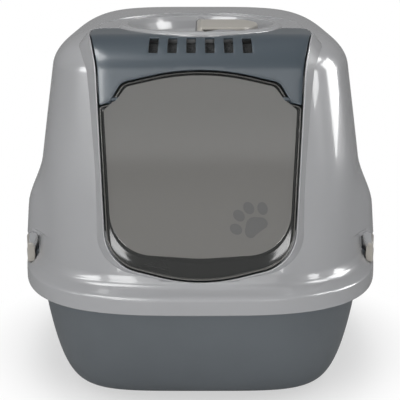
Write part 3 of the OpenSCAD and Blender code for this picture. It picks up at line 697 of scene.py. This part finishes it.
hood_piece("hood_shell", join(outside, (to_dish(flat), deck_tris), (to_dish(step), step_faces)), sharp=50,
           thick=WALL, replaces=["hood"])

# The seat inside the skirt is the band that rests on the tray's flange
SEAT_Z = FLANGE_TOP + 0.3
hood_piece("hood_seat", loft([
    level(RIM_A - 3.6, RIM_B - 3.8, RIM_POWER, SEAT_Z + 2.2), level(RIM_A - 3.6, RIM_B - 3.8, RIM_POWER, SEAT_Z),
    level(TRAY_A - 2, TRAY_B - 4, RIM_POWER, SEAT_Z),
    level(TRAY_A - 2, TRAY_B - 7, RIM_POWER, SEAT_Z + 10)], flip=True))


# The raised frame round the doorway, moulded with the hood: its flank falls away to the
# walls at the sides, and it thins out to a plain lip under the sill.
def resample(path, step):
    """The same path with points about step apart."""
    run = np.concatenate([[0], np.cumsum(np.hypot(*np.diff(path, axis=0).T))])
    at = np.linspace(0, run[-1], max(int(np.ceil(run[-1] / step)), 2) + 1)
    return np.column_stack([np.interp(at, run, column) for column in path.T])


def sideways(path, closed=False):
    """Unit normals to the right of a path."""
    p = np.asarray(path, float)
    way = (np.roll(p, -1, 0) - np.roll(p, 1, 0)) if closed else np.gradient(p, axis=0)
    way /= np.hypot(way[:, 0], way[:, 1])[:, None]
    return np.stack([way[:, 1], -way[:, 0]], 1)


FRAME_END, FRAME_STEP = TOP_START + 52, 3.0
frame_right = [
    (DOOR_TOP, TOP_T + 82, 0), (DOOR_TOP, TOP_T, 60), (DOOR_MID, MID_T, 120), (DOOR_LOW, FOOT_T, FOOT_R)]
frame_line = rounded_path([*frame_right, (0, SILL_T, SILL_R), *flipped(frame_right)], 30, closed=False)
frame_line = resample(frame_line, FRAME_STEP)
frame_line = frame_line[frame_line[:, 1] < FRAME_END]
out_way = -sideways(frame_line)
steep = np.minimum(1, np.abs(out_way[:, 0]) * 1.2)
reach, deep = 3 + 9.5 * steep, 5 + 9 * steep
sink = 9 * ease((frame_line[:, 1] - TOP_START + 6) / 50)
# Rows across it as (outwards, off the face): the edge in the doorway, the rounded top, the flank's foot
FRAME_TOP = ((0.0, 0.6), (0.08, 1.1), (0.3, 1.5), (0.65, 1.7), (1.05, 1.7), (1.4, 1.5), (1.7, 1.1))
frame_rows = [
    on_skin(frame_line[:, 0] + out_way[:, 0] * out, frame_line[:, 1] + out_way[:, 1] * out, up)
    for out, up in [(0.0, 1 - deep), *((out, up - sink) for out, up in FRAME_TOP), (reach, -deep)]]
hood_piece("door_frame", loft(frame_rows, closed=False, flip=True), sharp=60)


# The dish in the top of the hood: a turned form with a rounded collar, which holds the handle.
def lathe(profile, steps=128, flip=False):
    """A profile (radius, height) turned about the dish's axis. It faces up, or down with flip."""
    turn = np.linspace(0, 2 * np.pi, steps, endpoint=False)
    rows = [to_dish(np.stack([r * np.cos(turn), r * np.sin(turn), np.full(steps, z)], 1)) for r, z in profile]
    return loft(rows, flip=flip)


dish_line = rounded_path([
    (COLLAR_R, -4, 0), (COLLAR_R, 0.2, 1.8), (COLLAR_R - 4, 3, 4), (DISH_R + 2.0, 2.9, 2.2),
    (DISH_R - 2.4, -3.5, 5),
    (DISH_R - 8.5, 2.6 - DISH_DEPTH, 8), (DISH_R - 17, -DISH_DEPTH, 14), (0.01, -DISH_DEPTH, 0)], 7, closed=False)
hood_piece("dish", lathe(dish_line), sharp=50)
under_line = rounded_path([
    (COLLAR_R, -4, 0), (COLLAR_R - 8, -5, 3), (DISH_R - 5, 1 - DISH_DEPTH, 6),
    (DISH_R - 14, -DISH_DEPTH - WALL, 4),
    (0.01, -DISH_DEPTH - WALL, 0)], 5, closed=False)
hood_piece("dish_underside", lathe(under_line, flip=True), sharp=50)
HANDLE_HALF, HANDLE_AXIS_Z = 68.0, -4.0


def dish_bar(outline, low, high, end):
    """A solid from an outline (x, height) that runs along the dish, at its front (-1) or rear (1) end."""
    p, f = prism(outline, low, high)
    return to_dish(p[:, [0, 2, 1]] * (1, end, 1)), face_out(f, end > 0)


boss_side = rounded_path([
    (-7, -DISH_DEPTH - 1, 0), (7, -DISH_DEPTH - 1, 0), (6, HANDLE_AXIS_Z + 5, 3.5),
    (-6, HANDLE_AXIS_Z + 5, 3.5)], 5)
for name, end in ENDS:
    hood_piece(f"handle_boss_{name}", dish_bar(boss_side, HANDLE_HALF + 0.6, DISH_R - 4, end), bevel=0.5)


# The clip pockets: recesses in the ledge under the fenders, each with two ears for a pin.
def grid(rows, columns, surface):
    """A patch: surface(u, v) gives its three coordinates from two parameters that go from 0 to 1."""
    u, v = (k.ravel() for k in np.meshgrid(np.linspace(0, 1, rows), np.linspace(0, 1, columns), indexing="ij"))
    return np.stack(np.broadcast_arrays(*surface(u, v)), 1), loft_faces(rows, columns, closed=False)


CEILING = FENDER_LOW - 2
CLIP_PIN_U, CLIP_PIN_Z = CLIP_IN + CLIP_T / 2, CLIP_Z + CLIP_H - 4.5
POCKET_OUT, POCKET_LAP = 26.0, 0.15
EAR_NEAR, EAR_FAR = CLIP_W / 2 + 0.6, CLIP_W / 2 + 4.2
END_H = CEILING + arch(POCKET_HALF) - POCKET_FLOOR


def across(v):
    """Place along the clip, from one end of the pocket to the other as v goes from 0 to 1."""
    return POCKET_HALF * (2 * v - 1)


def ceiling(v):
    return CEILING + arch(across(v))


pocket, pocket_tris = join(
    grid(30, 12, lambda u, v: (u * POCKET_OUT, -POCKET_HALF, POCKET_FLOOR + v * END_H)),
    grid(30, 12, lambda u, v: (u * POCKET_OUT, POCKET_HALF, POCKET_FLOOR + (1 - v) * END_H)),
    grid(30, 20, lambda u, v: (u * POCKET_OUT, -across(v), POCKET_FLOOR)),
    grid(30, 24, lambda u, v: (u * POCKET_OUT, across(v), ceiling(v))),
    grid(12, 24, lambda u, v: (0, across(v), ceiling(v) * (1 - u) + POCKET_FLOOR * u)))
clip_ear_side = rounded_path([
    (CLIP_PIN_U - 2.7, CLIP_PIN_Z - 2.7, 2.6), (CLIP_PIN_U + 2.7, CLIP_PIN_Z - 2.7, 2.6),
    (CLIP_PIN_U + 1.5, CEILING + 8, 1), (CLIP_PIN_U - 9, CEILING + 8, 1)], 6)
for corner, place in CORNERS.items():
    p = in_clip_frame(pocket, *place)
    p, f = clip_away(p, pocket_tris, shell_half_width(p[:, 1], p[:, 2]) + POCKET_LAP - np.abs(p[:, 0]))
    hood_piece(f"clip_pocket_{corner}", (p, face_out(f, place[0] * place[1] < 0)))
    for name, low, high in (("a", -EAR_FAR, -EAR_NEAR), ("b", EAR_NEAR, EAR_FAR)):
        hood_piece(f"clip_ear_{corner}_{name}", clip_bar(clip_ear_side, low, high, *place), bevel=0.4)


# Visor: a slate blue sheet bent over the front shoulder and snapped into the doorway. Six
# vent slots lead to the filter behind it, and an arch leaves room for the flap's head.
def inside(outline, points):
    """Which points lie inside an outline (even-odd rule)."""
    a, b = outline, np.roll(outline, -1, 0)
    x, y = points[:, 0, None], points[:, 1, None]
    crosses = (a[:, 1] > y) != (b[:, 1] > y)
    with np.errstate(divide="ignore", invalid="ignore"):
        at = (b[:, 0] - a[:, 0]) * (y - a[:, 1]) / (b[:, 1] - a[:, 1]) + a[:, 0]
    return ((crosses & (x < at)).sum(1) % 2) == 1


def fill_in(path, longest):
    """A closed path with points added so that no side is longer than longest."""
    out = []
    for a, b in zip(path, np.roll(path, -1, 0)):
        length = np.hypot(*(b - a)[:2])
        if length > 1e-6:
            n = int(np.ceil(length / longest))
            out.append(a + (b - a) * (np.arange(n) / n)[:, None])
    return np.vstack(out)


def shrink(outline, by):
    """An anticlockwise outline moved inwards along its normals."""
    return outline - sideways(outline, closed=True) * np.reshape(by, (-1, 1))


def face_of(loops, spacing, facing):
    """Triangles that fill the first loop but not the others, with seeds on a grid, facing up or down."""
    edges, base = [], 0
    for q in loops:
        edges += [(base + i, base + (i + 1) % len(q)) for i in range(len(q))]
        base += len(q)
    lo, hi = loops[0].min(0), loops[0].max(0)
    x, t = np.meshgrid(np.arange(lo[0], hi[0], spacing), np.arange(lo[1], hi[1], spacing))
    seeds = np.column_stack([x.ravel(), t.ravel()])
    seeds = seeds[inside(shrink(loops[0], spacing * 0.5), seeds)]
    for q in loops[1:]:
        seeds = seeds[~inside(shrink(q, -spacing * 0.5), seeds)]
    verts, _, tris, *_ = geometry.delaunay_2d_cdt(np.vstack([*loops, seeds]).tolist(), edges, [], 0, 1e-5)
    verts, tris = np.array([tuple(v) for v in verts]), np.array(tris)
    middle = verts[tris].mean(1)
    good = inside(loops[0], middle)
    for q in loops[1:]:
        good &= ~inside(q, middle)
    tris = tris[good]
    a, b, c = verts[tris[:, 0]], verts[tris[:, 1]], verts[tris[:, 2]]
    turned = ((b - a)[:, 0] * (c - a)[:, 1] - (b - a)[:, 1] * (c - a)[:, 0]) * facing < 0
    tris[turned] = tris[turned][:, ::-1]
    return verts, tris


PLATE_GRAIN = 0.004


def plate(outer, holes, rim, spacing):
    """A plate on the (x, t) plane. The rim's rows are (inset, depth) from its front edge to its back edge,
    numbers or one for each point. Outlines run anticlockwise, and a hole's rim moves the other way."""
    loops, parts = [(outer, 1)] + [(h, -1) for h in holes], []
    for (inset, depth), facing in ((rim[0], 1), (rim[-1], -1)):
        verts, tris = face_of([shrink(q, np.multiply(inset, way)) for q, way in loops], spacing, facing)
        parts.append((np.column_stack([verts, np.full(len(verts), float(depth))]), tris))
    for q, way in loops:
        rows = [
            np.column_stack([shrink(q, np.multiply(inset, way)), np.broadcast_to(depth, len(q))])
            for inset, depth in rim]
        parts.append(loft(rows, flip=way > 0))
    return weld(*join(*parts), PLATE_GRAIN)


def quarter_round(edge, top, steps):
    """Rim rows of a rounded edge, from the face at top down to the side."""
    return [(edge * (1 - np.sin(x)), top - edge * (1 - np.cos(x))) for x in np.linspace(0, np.pi / 2, steps)]


def thin_rim(edge, thickness):
    """Rim rows of a thin plate: rounded at its front edge, with a small bevel behind."""
    return [*quarter_round(edge, 0, 4), (0.0, edge * 0.4 - thickness), (edge * 0.4, -thickness)]


PIVOT_X, PIVOT_UP, ARCH_RISE = 98.0, FACE_END - 27.8, 31.0
BEAD_T, PIN_R = 7.0, 2.5
SHOULDER_T, APEX = PIVOT_UP - 9, PIVOT_UP + ARCH_RISE + 7
SHOULDER_X = door_half_width(SHOULDER_T) - DOOR_GAP
KNEE_X, KNEE_T = PIVOT_X - 10, PIVOT_UP + 17
VISOR_T, VISOR_FLANGE, VISOR_EDGE = 2.5, 12.0, 0.8
VISOR_BACK = TOP_START + (DOOR_BACK - DOOR_GAP - skin(TOP_START, 0)[0]) / np.cos(TOP_TILT)


def slab(x0, x1, y0, y1, corner=1.0):
    """A rectangle with rounded corners."""
    return rounded_path([(x0, y0, corner), (x1, y0, corner), (x1, y1, corner), (x0, y1, corner)], 4)


def mirrored(corners):
    """Corners of the right half followed by those of the left, in order round the outline."""
    return [*corners, *[(-x, t, r) for x, t, r in corners[::-1] if x > 0]]


cut_x = np.linspace(COLLAR_R, -COLLAR_R, 101)
cut_y = DISH_Y - np.sqrt(np.maximum((COLLAR_R + 1.0) ** 2 - cut_x**2, 0))
cut_t = TOP_START + (cut_y - skin(TOP_START, 0)[0]) / np.cos(TOP_TILT)
cut = [(x, t, 0) for x, t in zip(cut_x, cut_t) if t < VISOR_BACK - 1]
visor_edge = [
    (door_half_width(SHOULDER_T + DOOR_GAP) - DOOR_GAP, SHOULDER_T + DOOR_GAP, 2.0),
    (DOOR_MID - DOOR_GAP, MID_T, 120), (DOOR_TOP - DOOR_GAP, TOP_T, 60),
    (DOOR_TOP - DOOR_GAP, VISOR_BACK, 1.5)]
arch_right = [
    (0, APEX + DOOR_GAP, 250), (KNEE_X + DOOR_GAP, KNEE_T + DOOR_GAP, 14),
    (PIVOT_X + 3 + DOOR_GAP, SHOULDER_T + 4 + DOOR_GAP, 5)]
visor_corners = [
    *visor_edge, (cut[0][0] + 3, VISOR_BACK, 1.0), *cut, (cut[-1][0] - 3, VISOR_BACK, 1.0), *flipped(visor_edge),
    *flipped(arch_right[1:]), *arch_right]
visor_outline = fill_in(rounded_path(visor_corners, 8), 3.0)
SLOT_W, SLOT_L, SLOT_COUNT, SLOT_LEAN, SLOT_TURN = 10.5, 28.0, 6, np.radians(0.9), np.radians(42)
SLOT_T, SLOT_PITCH = FACE_END + SHOULDER_R * SLOT_TURN, 2 * SLOT_W + 0.4
box = fill_in(slab(-SLOT_W / 2, SLOT_W / 2, -SLOT_L / 2, SLOT_L / 2, 1.4), 3.0)
slots = []
for k in np.arange(SLOT_COUNT) - (SLOT_COUNT - 1) / 2:
    c, s = np.cos(SLOT_LEAN * k), np.sin(SLOT_LEAN * k)
    slots.append(box @ np.array([[c, s], [-s, c]]) + (k * SLOT_PITCH, SLOT_T))
VISOR_BLUE = (0.048, 0.064, 0.079)
visor_plastic = moulded(
    "visor plastic", VISOR_BLUE, 0.30, grain=0.05, grain_size=1600.0, drift=0.015,
    Coat_Weight=0.25, Coat_Roughness=0.12)
visor_piece = partial(put, body="visor", slot="visor_plastic", material=visor_plastic)
p, f = plate(visor_outline, slots, thin_rim(VISOR_EDGE, VISOR_T), 4.0)
# Its sides roll back a little towards the frame
ROLL, ROLL_IN = 1.5, 17.0
p[:, 2] -= ROLL * (np.clip(1 - (door_half_width(p[:, 1]) - np.abs(p[:, 0])) / ROLL_IN, 0, 1)) ** 2
visor_piece("visor_sheet", (on_skin(*p.T), f), sharp=55, replaces=["visor"])


def skin_bar(outline, low, high, side):
    """A solid from an outline (t, d) that runs across the face, at its left (-1) or right (1)."""
    p, f = prism(outline, low, high)
    return on_skin(p[:, 2] * side, p[:, 0], p[:, 1]), face_out(f, side < 0)


flange_side = rounded_path([
    (PIVOT_UP + 11, -VISOR_FLANGE, 2), (PIVOT_UP + 26, -VISOR_FLANGE, 2), (PIVOT_UP + 26, -VISOR_T / 2, 0),
    (PIVOT_UP + 11, -VISOR_T / 2, 0)], 4)
flap_ear_side = rounded_path([
    (PIVOT_UP - 5, -BEAD_T / 2 - 5, 4.8), (PIVOT_UP + 12, -BEAD_T / 2 - 5, 2),
    (PIVOT_UP + 12, -VISOR_T / 2, 0),
    (PIVOT_UP + 3, -VISOR_T / 2, 0.5), (PIVOT_UP - 5, -VISOR_T - 0.4, 2)], 6)
landing_side = slab(PIVOT_UP + 8, PIVOT_UP + 28, -VISOR_FLANGE - 4.3, -VISOR_FLANGE - 0.3, 0.8)
for name, side in SIDES:
    visor_piece(f"visor_flange_{name}", skin_bar(flange_side, SHOULDER_X - 5, SHOULDER_X, side), bevel=0.4)
    visor_piece(f"flap_ear_{name}", skin_bar(flap_ear_side, PIVOT_X + 4, PIVOT_X + 12, side), bevel=0.3)
    # The hood's landing that the flange comes to rest on
    hood_piece(f"visor_landing_{name}", skin_bar(landing_side, SHOULDER_X - 4, DOOR_MID + 6, side), bevel=0.3)


# Behind the slots: two cheeks on the visor, a slotted cover on a pin between them, and a
# mat of black carbon foam that the cover holds.
FILTER_ANGLE, FILTER_HALF, FILTER_L, FILTER_T = np.radians(53), 74.0, 34.0, 7.0
COVER_T, COVER_R, CHEEK_T = 2.0, SHOULDER_R - 18.5, 3.0
OUT_YZ = np.array([-np.cos(FILTER_ANGLE), np.sin(FILTER_ANGLE)])
UP_YZ = np.array([np.sin(FILTER_ANGLE), np.cos(FILTER_ANGLE)])


def on_shoulder(points):
    """Points (x, up and back over the shoulder, out from its centre) of the filter's frame."""
    yz = BEND + points[:, 1:2] * UP_YZ + points[:, 2:3] * OUT_YZ
    return np.column_stack([points[:, 0], yz])


cheek_side = rounded_path([
    (-FILTER_L / 2 - 7, COVER_R - 4, 3), (FILTER_L / 2 + 3, COVER_R - 4, 3),
    (FILTER_L / 2 + 3, SHOULDER_R - 4.6, 0),
    (0, SHOULDER_R - 1.4, 0), (-FILTER_L / 2 - 7, SHOULDER_R - 6.4, 0)], 5)
for name, side in SIDES:
    p, f = prism(cheek_side, FILTER_HALF + 2, FILTER_HALF + 2 + CHEEK_T)
    p = on_shoulder(p[:, [2, 0, 1]] * (side, 1, 1))
    visor_piece(f"filter_cheek_{name}", (p, face_out(f, side < 0)), bevel=0.4)
SLIT_PITCH, SLIT_HALF, SLIT_L = 13, 3.5, FILTER_L - 8
cover_holes = [
    fill_in(slab(x - SLIT_HALF, x + SLIT_HALF, -SLIT_L / 2, SLIT_L / 2), 4.0)
    for x in SLIT_PITCH * np.arange(-5, 6)]
cover_outline = fill_in(slab(-FILTER_HALF - 1.4, FILTER_HALF + 1.4, -FILTER_L / 2 - 3, FILTER_L / 2 + 2, 2), 4.0)
p, f = plate(cover_outline, cover_holes, thin_rim(0.5, COVER_T), 6.0)
cover_piece = partial(put, body="filter_cover", slot="visor_plastic", material=visor_plastic)
cover_piece("filter_cover_plate", (on_shoulder(p + (0, 0, COVER_R + COVER_T)), f), replaces=["filter_cover"])


def rod(start, end, radius, round_end=0.5, steps=28):
    """A turned pin between two points, with rounded ends."""
    length = np.linalg.norm(end - start)
    way = (end - start) / length
    side = np.cross(way, (0.3, 0.5, 0.8))
    side /= np.linalg.norm(side)
    turn = np.linspace(0, 2 * np.pi, steps, endpoint=False)[:, None]
    circle = np.cos(turn) * side + np.sin(turn) * np.cross(way, side)
    tip = [(0.01, 0), (radius - round_end, 0), (radius - round_end * 0.3, round_end * 0.3), (radius, round_end)]
    tip += [(r, length - z) for r, z in tip[::-1]]
    return loft([start + way * z + circle * r for r, z in tip])


hinge = np.array([[x, -FILTER_L / 2 - 3, COVER_R + 1] for x in (-FILTER_HALF - 4.5, FILTER_HALF + 4.5)])
cover_piece("filter_cover_pin", rod(*on_shoulder(hinge), 1.5, 0.3))


def foam(name, colour):
    """Open carbon foam: black, rough and pitted, with painted shade in the pits, which are darker than the webs
    between them.
    """
    look, n, place = new_look(name)
    cells = n.make(
        "ShaderNodeTexVoronoi", {"feature": "DISTANCE_TO_EDGE"}, out="Distance", Vector=place, Scale=420.0)
    webs = 1 - cells.over(0.02, 0.22)
    bump = n.make("ShaderNodeBump", Strength=0.8, Distance=0.0008, Height=webs)
    # Painted shade: the pits get a quarter of the webs' colour
    n.surface(Base_Color=n.blend(webs, tuple(c * 0.25 for c in colour), colour), Roughness=0.95, Normal=bump)
    return look


carbon_foam = foam("carbon foam", (0.030, 0.032, 0.033))
mat_outline = fill_in(slab(-FILTER_HALF, FILTER_HALF, -FILTER_L / 2 + 1, FILTER_L / 2 - 1, 3), 3.0)
MAT_EDGE = [(4.0, 0.0), (2.2, 0.15), (0.9, 0.8), (0.15, 2.0)]
mat_rim = [
    *((k, -z) for k, z in MAT_EDGE), (0.0, -FILTER_T / 2), *((k, z - FILTER_T) for k, z in MAT_EDGE[::-1])]
p, f = plate(mat_outline, [], mat_rim, 3.0)
# Both faces are quilted: cushions with shallow valleys between them
QUILT_X, QUILT_Y, QUILT_DEPTH, QUILT_FROM = 18.5, 16.0, 0.5, 3.3
off_middle = p[:, 2] + FILTER_T / 2
quilt = np.cos(p[:, 0] * 2 * np.pi / QUILT_X) * np.cos(p[:, 1] * 2 * np.pi / QUILT_Y)
quilt = np.where(np.abs(off_middle) > QUILT_FROM, quilt, 0)
p[:, 2] = np.clip(p[:, 2] + QUILT_DEPTH * (quilt - 1) * np.sign(off_middle), -FILTER_T, 0)
p = on_shoulder(p + (0, 0, COVER_R + COVER_T + 0.3 + FILTER_T))
put("filter_mat", (p, f), "visor", "filter_foam", carbon_foam, replaces=["carbon_filter"])


# Flap: one plate of smoky clear plastic. Its middle is flat; a band round it falls back to
# a thin lip, narrow at the sides and deep at the foot, and two stub pins carry it.
FLAP_FACE, FLAP_BACK, LIP = -1.0, -4.0, 1.5
flap_corners = mirrored([
    (0, SILL_T + DOOR_GAP, SILL_R - DOOR_GAP), (DOOR_LOW - DOOR_GAP, FOOT_T + DOOR_GAP, FOOT_R - DOOR_GAP),
    (SHOULDER_X, SHOULDER_T, 5), (PIVOT_X + 3, SHOULDER_T + 4, 5), (KNEE_X, KNEE_T, 14), (0, APEX, 250)])
window_corners = mirrored([
    (0, 27.5, 190), (DOOR_LOW - 6.2, 34, 50), (SHOULDER_X - 5.2, SHOULDER_T - 3, 6),
    (PIVOT_X - 3, PIVOT_UP - 1, 5),
    (KNEE_X - 4, KNEE_T - 3, 11), (0, APEX - 5, 245)])
both = fill_in(np.hstack([rounded_path(flap_corners, 14), rounded_path(window_corners, 14)]), 2.5)
flap_outline, window = both[:, :2], both[:, 2:]
lip_inner = shrink(flap_outline, LIP)
# Rows of the front: across the band as (share of its width from the lip, depth, how dark), then over the lip. How
# dark is painted shade on the band, which slopes back from the middle, and denser plastic on the deep bead
BAND = (
    (1.1, 0, 0), (1, 0, 0), (0.985, -0.05, 1), (0.97, -0.15, 1), (0.95, -0.45, 1), (0.925, -0.95, 1),
    (0.9, -1.25, 1), (0.86, -1.35, 1), (0.835, -1.45, 1), (0.81, -1.75, 1), (0.785, -2.1, 1),
    (0.76, -2.25, 1),
    (0.7, -2.35, 1), (0.5, -2.6, 1), (0.25, -3.0, 1), (0.06, -3.5, 1))
LIP_ROWS = (
    (LIP, -3.1), (LIP - 0.12, -2.6), (LIP - 0.4, -2.4), (0.45, -2.4), (0.12, -2.55), (0.0, -2.9),
    (0.0, 0.4 - BEAD_T),
    (0.4, -BEAD_T), (7.5, -BEAD_T), (8.5, 1 - BEAD_T), (9.0, -4.4), (9.2, FLAP_BACK))
# The lip's front takes this share of the darkening, and the deep bead behind it all of it, as denser plastic
LIP_DARK = 0.35


def flap_row(outline, depth, dark):
    """Points (x, t) of the flap with their depth and how dark they are painted: painted shade on the band, denser
    plastic on the bead.
    """
    return np.column_stack([outline, np.full(len(outline), depth), np.full(len(outline), dark)])


rows = [flap_row(lip_inner + (window - lip_inner) * k, FLAP_FACE + depth, dark) for k, depth, dark in BAND]
rows += [flap_row(shrink(flap_outline, k), depth, LIP_DARK if k <= LIP else 1) for k, depth in LIP_ROWS]
front, front_tris = face_of([rows[0][:, :2]], 8.0, 1)
back, back_tris = face_of([rows[-1][:, :2]], 8.0, -1)
p, f = join(
    (flap_row(front, FLAP_FACE, 0), front_tris), (flap_row(back, FLAP_BACK, 0), back_tris),
    loft(rows, flip=True))
p, f = weld(p, f, PLATE_GRAIN)


# Painted shade on the flap: between these heights its tint darkens to TOP_SHADE of itself
PAINTED_SHADE_FROM, PAINTED_SHADE_TO, TOP_SHADE = 0.24, 0.38, 0.70


def smoky(name, tint, dense_and_shaded_tint, clear):
    """Smoky clear plastic: half see-through and glossy, darker and denser where the thick attribute is high
    (denser plastic on the bead, painted shade on the band), with painted shade towards its top.
    """
    look, n, place = new_look(name)
    # The thick attribute: painted shade on the sloping band, and denser plastic on the deep bead
    thick = n.make("ShaderNodeAttribute", {"attribute_name": "thick"}, out="Fac")
    haze = n.noise(place, 7.0, 2.0)
    height = n.make("ShaderNodeSeparateXYZ", Vector=place, out=2)
    # Painted shade: the tint darkens towards the flap's top
    wall = n.blend(height.over(PAINTED_SHADE_FROM, PAINTED_SHADE_TO), tint, tuple(c * TOP_SHADE for c in tint))
    n.surface(
        Base_Color=n.blend(thick, wall, dense_and_shaded_tint), Roughness=(haze - 0.5) * 0.03 + 0.09,
        Alpha=(1 - clear) + thick * (clear * 0.75) + (haze - 0.5) * 0.02, IOR=1.5)
    return look


smoky_plastic = smoky("smoky plastic", (0.200, 0.196, 0.187), (0.034, 0.035, 0.034), 0.22)
flap_piece = partial(put, body="flap", slot="flap_plastic")
flap = flap_piece("flap_plate", (on_skin(*p[:, :3].T), f), material=smoky_plastic, sharp=40, replaces=["flap"])
# The thick attribute carries painted shade on the band and denser plastic on the bead
flap.data.attributes.new("thick", "FLOAT", "POINT").data.foreach_set("value", p[:, 3].astype(np.float32))
for name, side in SIDES:
    ends = on_skin(side * np.array([PIVOT_X - 7, PIVOT_X + 11]), [PIVOT_UP, PIVOT_UP], -BEAD_T / 2)
    flap_piece(f"flap_pin_{name}", rod(*ends, PIN_R, 0.5), material=visor_plastic)


# Paw print: one coat of dark grey ink, printed on the flap's face.
def ink(name, colour):
    """Screen ink: matt and thin, a little uneven in tone from the mesh."""
    look, n, place = new_look(name)
    mesh_marks = n.noise(place, 900.0, 2.0)
    tone = n.blend(mesh_marks.over(0.3, 0.7), colour, tuple(c * 1.12 for c in colour))
    bump = n.make("ShaderNodeBump", Strength=0.15, Distance=0.0001, Height=mesh_marks)
    n.surface(Base_Color=tone, Roughness=(mesh_marks - 0.5) * 0.1 + 0.42, Normal=bump)
    return look


PRINT_GREY = (0.062, 0.062, 0.061)
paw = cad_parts["paw_print"].data
paw.materials.clear()
paw.materials.append(ink("print ink", PRINT_GREY))


# Handle: a half-round grip in warm grey plastic, crowned on top and hollow below, that
# folds up out of the dish about a barrel with a pin at each end.
HANDLE_R, GRIP_HALF, GRIP_EDGE, GRIP_TOP, GRIP_WALL = 72.0, 49.0, 2.2, 2.4, 6.0
TRIM_GREY = (0.375, 0.355, 0.320)
trim_plastic = moulded(
    "trim plastic", TRIM_GREY, 0.34, grain=0.12, grain_size=1500.0, drift=0.02,
    Coat_Weight=0.15, Coat_Roughness=0.15)
trim_piece = partial(put, slot="trim_plastic", material=trim_plastic)
cut_angle = np.arcsin(GRIP_HALF / HANDLE_R)
arc = HANDLE_R * np.array([(np.cos(a), np.sin(a)) for a in np.linspace(-cut_angle, cut_angle, 41)])
grip = fill_in(rounded_path([
    (-1, -GRIP_HALF, 3), (*arc[0], 10), *[(x, y, 0) for x, y in arc[2:-2]], (*arc[-1], 10),
    (-1, GRIP_HALF, 3)], 6), 3.0)
# The rim is shallow beside the barrel and deep round the curved side
deep = ease((grip[:, 0] - 38) / 22)
foot = 0.2 - 8.2 * deep
foot_edge = foot + 0.5 - 0.3 * (1 - deep)
GRIP_UNDER, CROWN_UP = 0.5, 1.9
grip_rim = [
    *quarter_round(GRIP_EDGE, GRIP_TOP, 5), (0.0, foot_edge), (0.5, foot), (GRIP_WALL - 0.5, foot),
    (GRIP_WALL, foot_edge), (GRIP_WALL + 0.2, GRIP_UNDER)]
p, f = plate(grip, [], grip_rim, 4.0)
along_edge, off_edge = p[:, 1] / GRIP_HALF, np.maximum(p[:, 0], 0) / HANDLE_R
crown = np.clip(1 - along_edge**2, 0, 1) * np.clip(1 - off_edge**2, 0, 1)
p[:, 2] += CROWN_UP * crown * (p[:, 2] > GRIP_UNDER - 0.01)
trim_piece("handle_grip", (to_dish(p), f), "handle", sharp=45, replaces=["handle"])
for name, half, radius, round_end, steps in (
        ("handle_barrel", HANDLE_HALF, 4.6, 0.8, 40), ("handle_pin", HANDLE_HALF + 7, PIN_R, 0.4, 28)):
    ends = to_dish([(0, -half, HANDLE_AXIS_Z), (0, half, HANDLE_AXIS_Z)])
    trim_piece(name, rod(*ends, radius, round_end, steps), "handle")
rib_side = rounded_path([(-2.5, HANDLE_AXIS_Z - 3.5, 2), (40, -1.5, 2), (44, 0.8, 0), (-1, 0.8, 0)], 5)
for name, end in ENDS:
    trim_piece(f"handle_rib_{name}", dish_bar(rib_side, 12.0, 14.5, end), "handle", bevel=0.4)


# Clips: four bent levers in the same warm plastic. Each hangs on a pin under its fender,
# hooks under a tongue of the tray, and has a lip at its foot for a finger.
CLIP_OUT = CLIP_IN + CLIP_T
clip_side = rounded_path([
    (CLIP_IN, CLIP_Z, 0.8), (CLIP_OUT - 1, CLIP_Z, 1.2), (CLIP_OUT + 0.6, CLIP_Z + 1.5, 0.8),
    (CLIP_OUT + 0.6, CLIP_Z + 5, 2), (CLIP_OUT, CLIP_Z + 8, 4), (CLIP_OUT, CLIP_Z + CLIP_H - 5, 4),
    (CLIP_OUT - 2.5, CLIP_Z + CLIP_H - 0.5, 2), (CLIP_IN + 2.5, CLIP_Z + CLIP_H, 2),
    (CLIP_IN, CLIP_Z + CLIP_H - 3, 1.5)], 5)
hook_side = rounded_path([
    (CLIP_IN - 1.9, CATCH_Z - 2.2, 0.8), (CLIP_IN - 1.9, CATCH_Z - 0.4, 0.4), (CLIP_IN + 1, CATCH_Z - 0.4, 0),
    (CLIP_IN + 1, CATCH_Z - 4.6, 0)], 4)
HOOK_HALF, CLIP_PIN_HALF = TONGUE_W / 2 - 1, CLIP_W / 2 + 5.2
for corner, place in CORNERS.items():
    body = f"clip_{corner}"
    lever = clip_bar(clip_side, -CLIP_W / 2, CLIP_W / 2, *place)
    trim_piece(f"{body}_lever", lever, body, bevel=0.7, replaces=[body])
    trim_piece(f"{body}_hook", clip_bar(hook_side, -HOOK_HALF, HOOK_HALF, *place), body, bevel=0.2)
    ends = in_clip_frame([(CLIP_PIN_U, v, CLIP_PIN_Z) for v in (-CLIP_PIN_HALF, CLIP_PIN_HALF)], *place)
    trim_piece(f"{body}_pin", rod(*ends, PIN_R, 0.4), body)
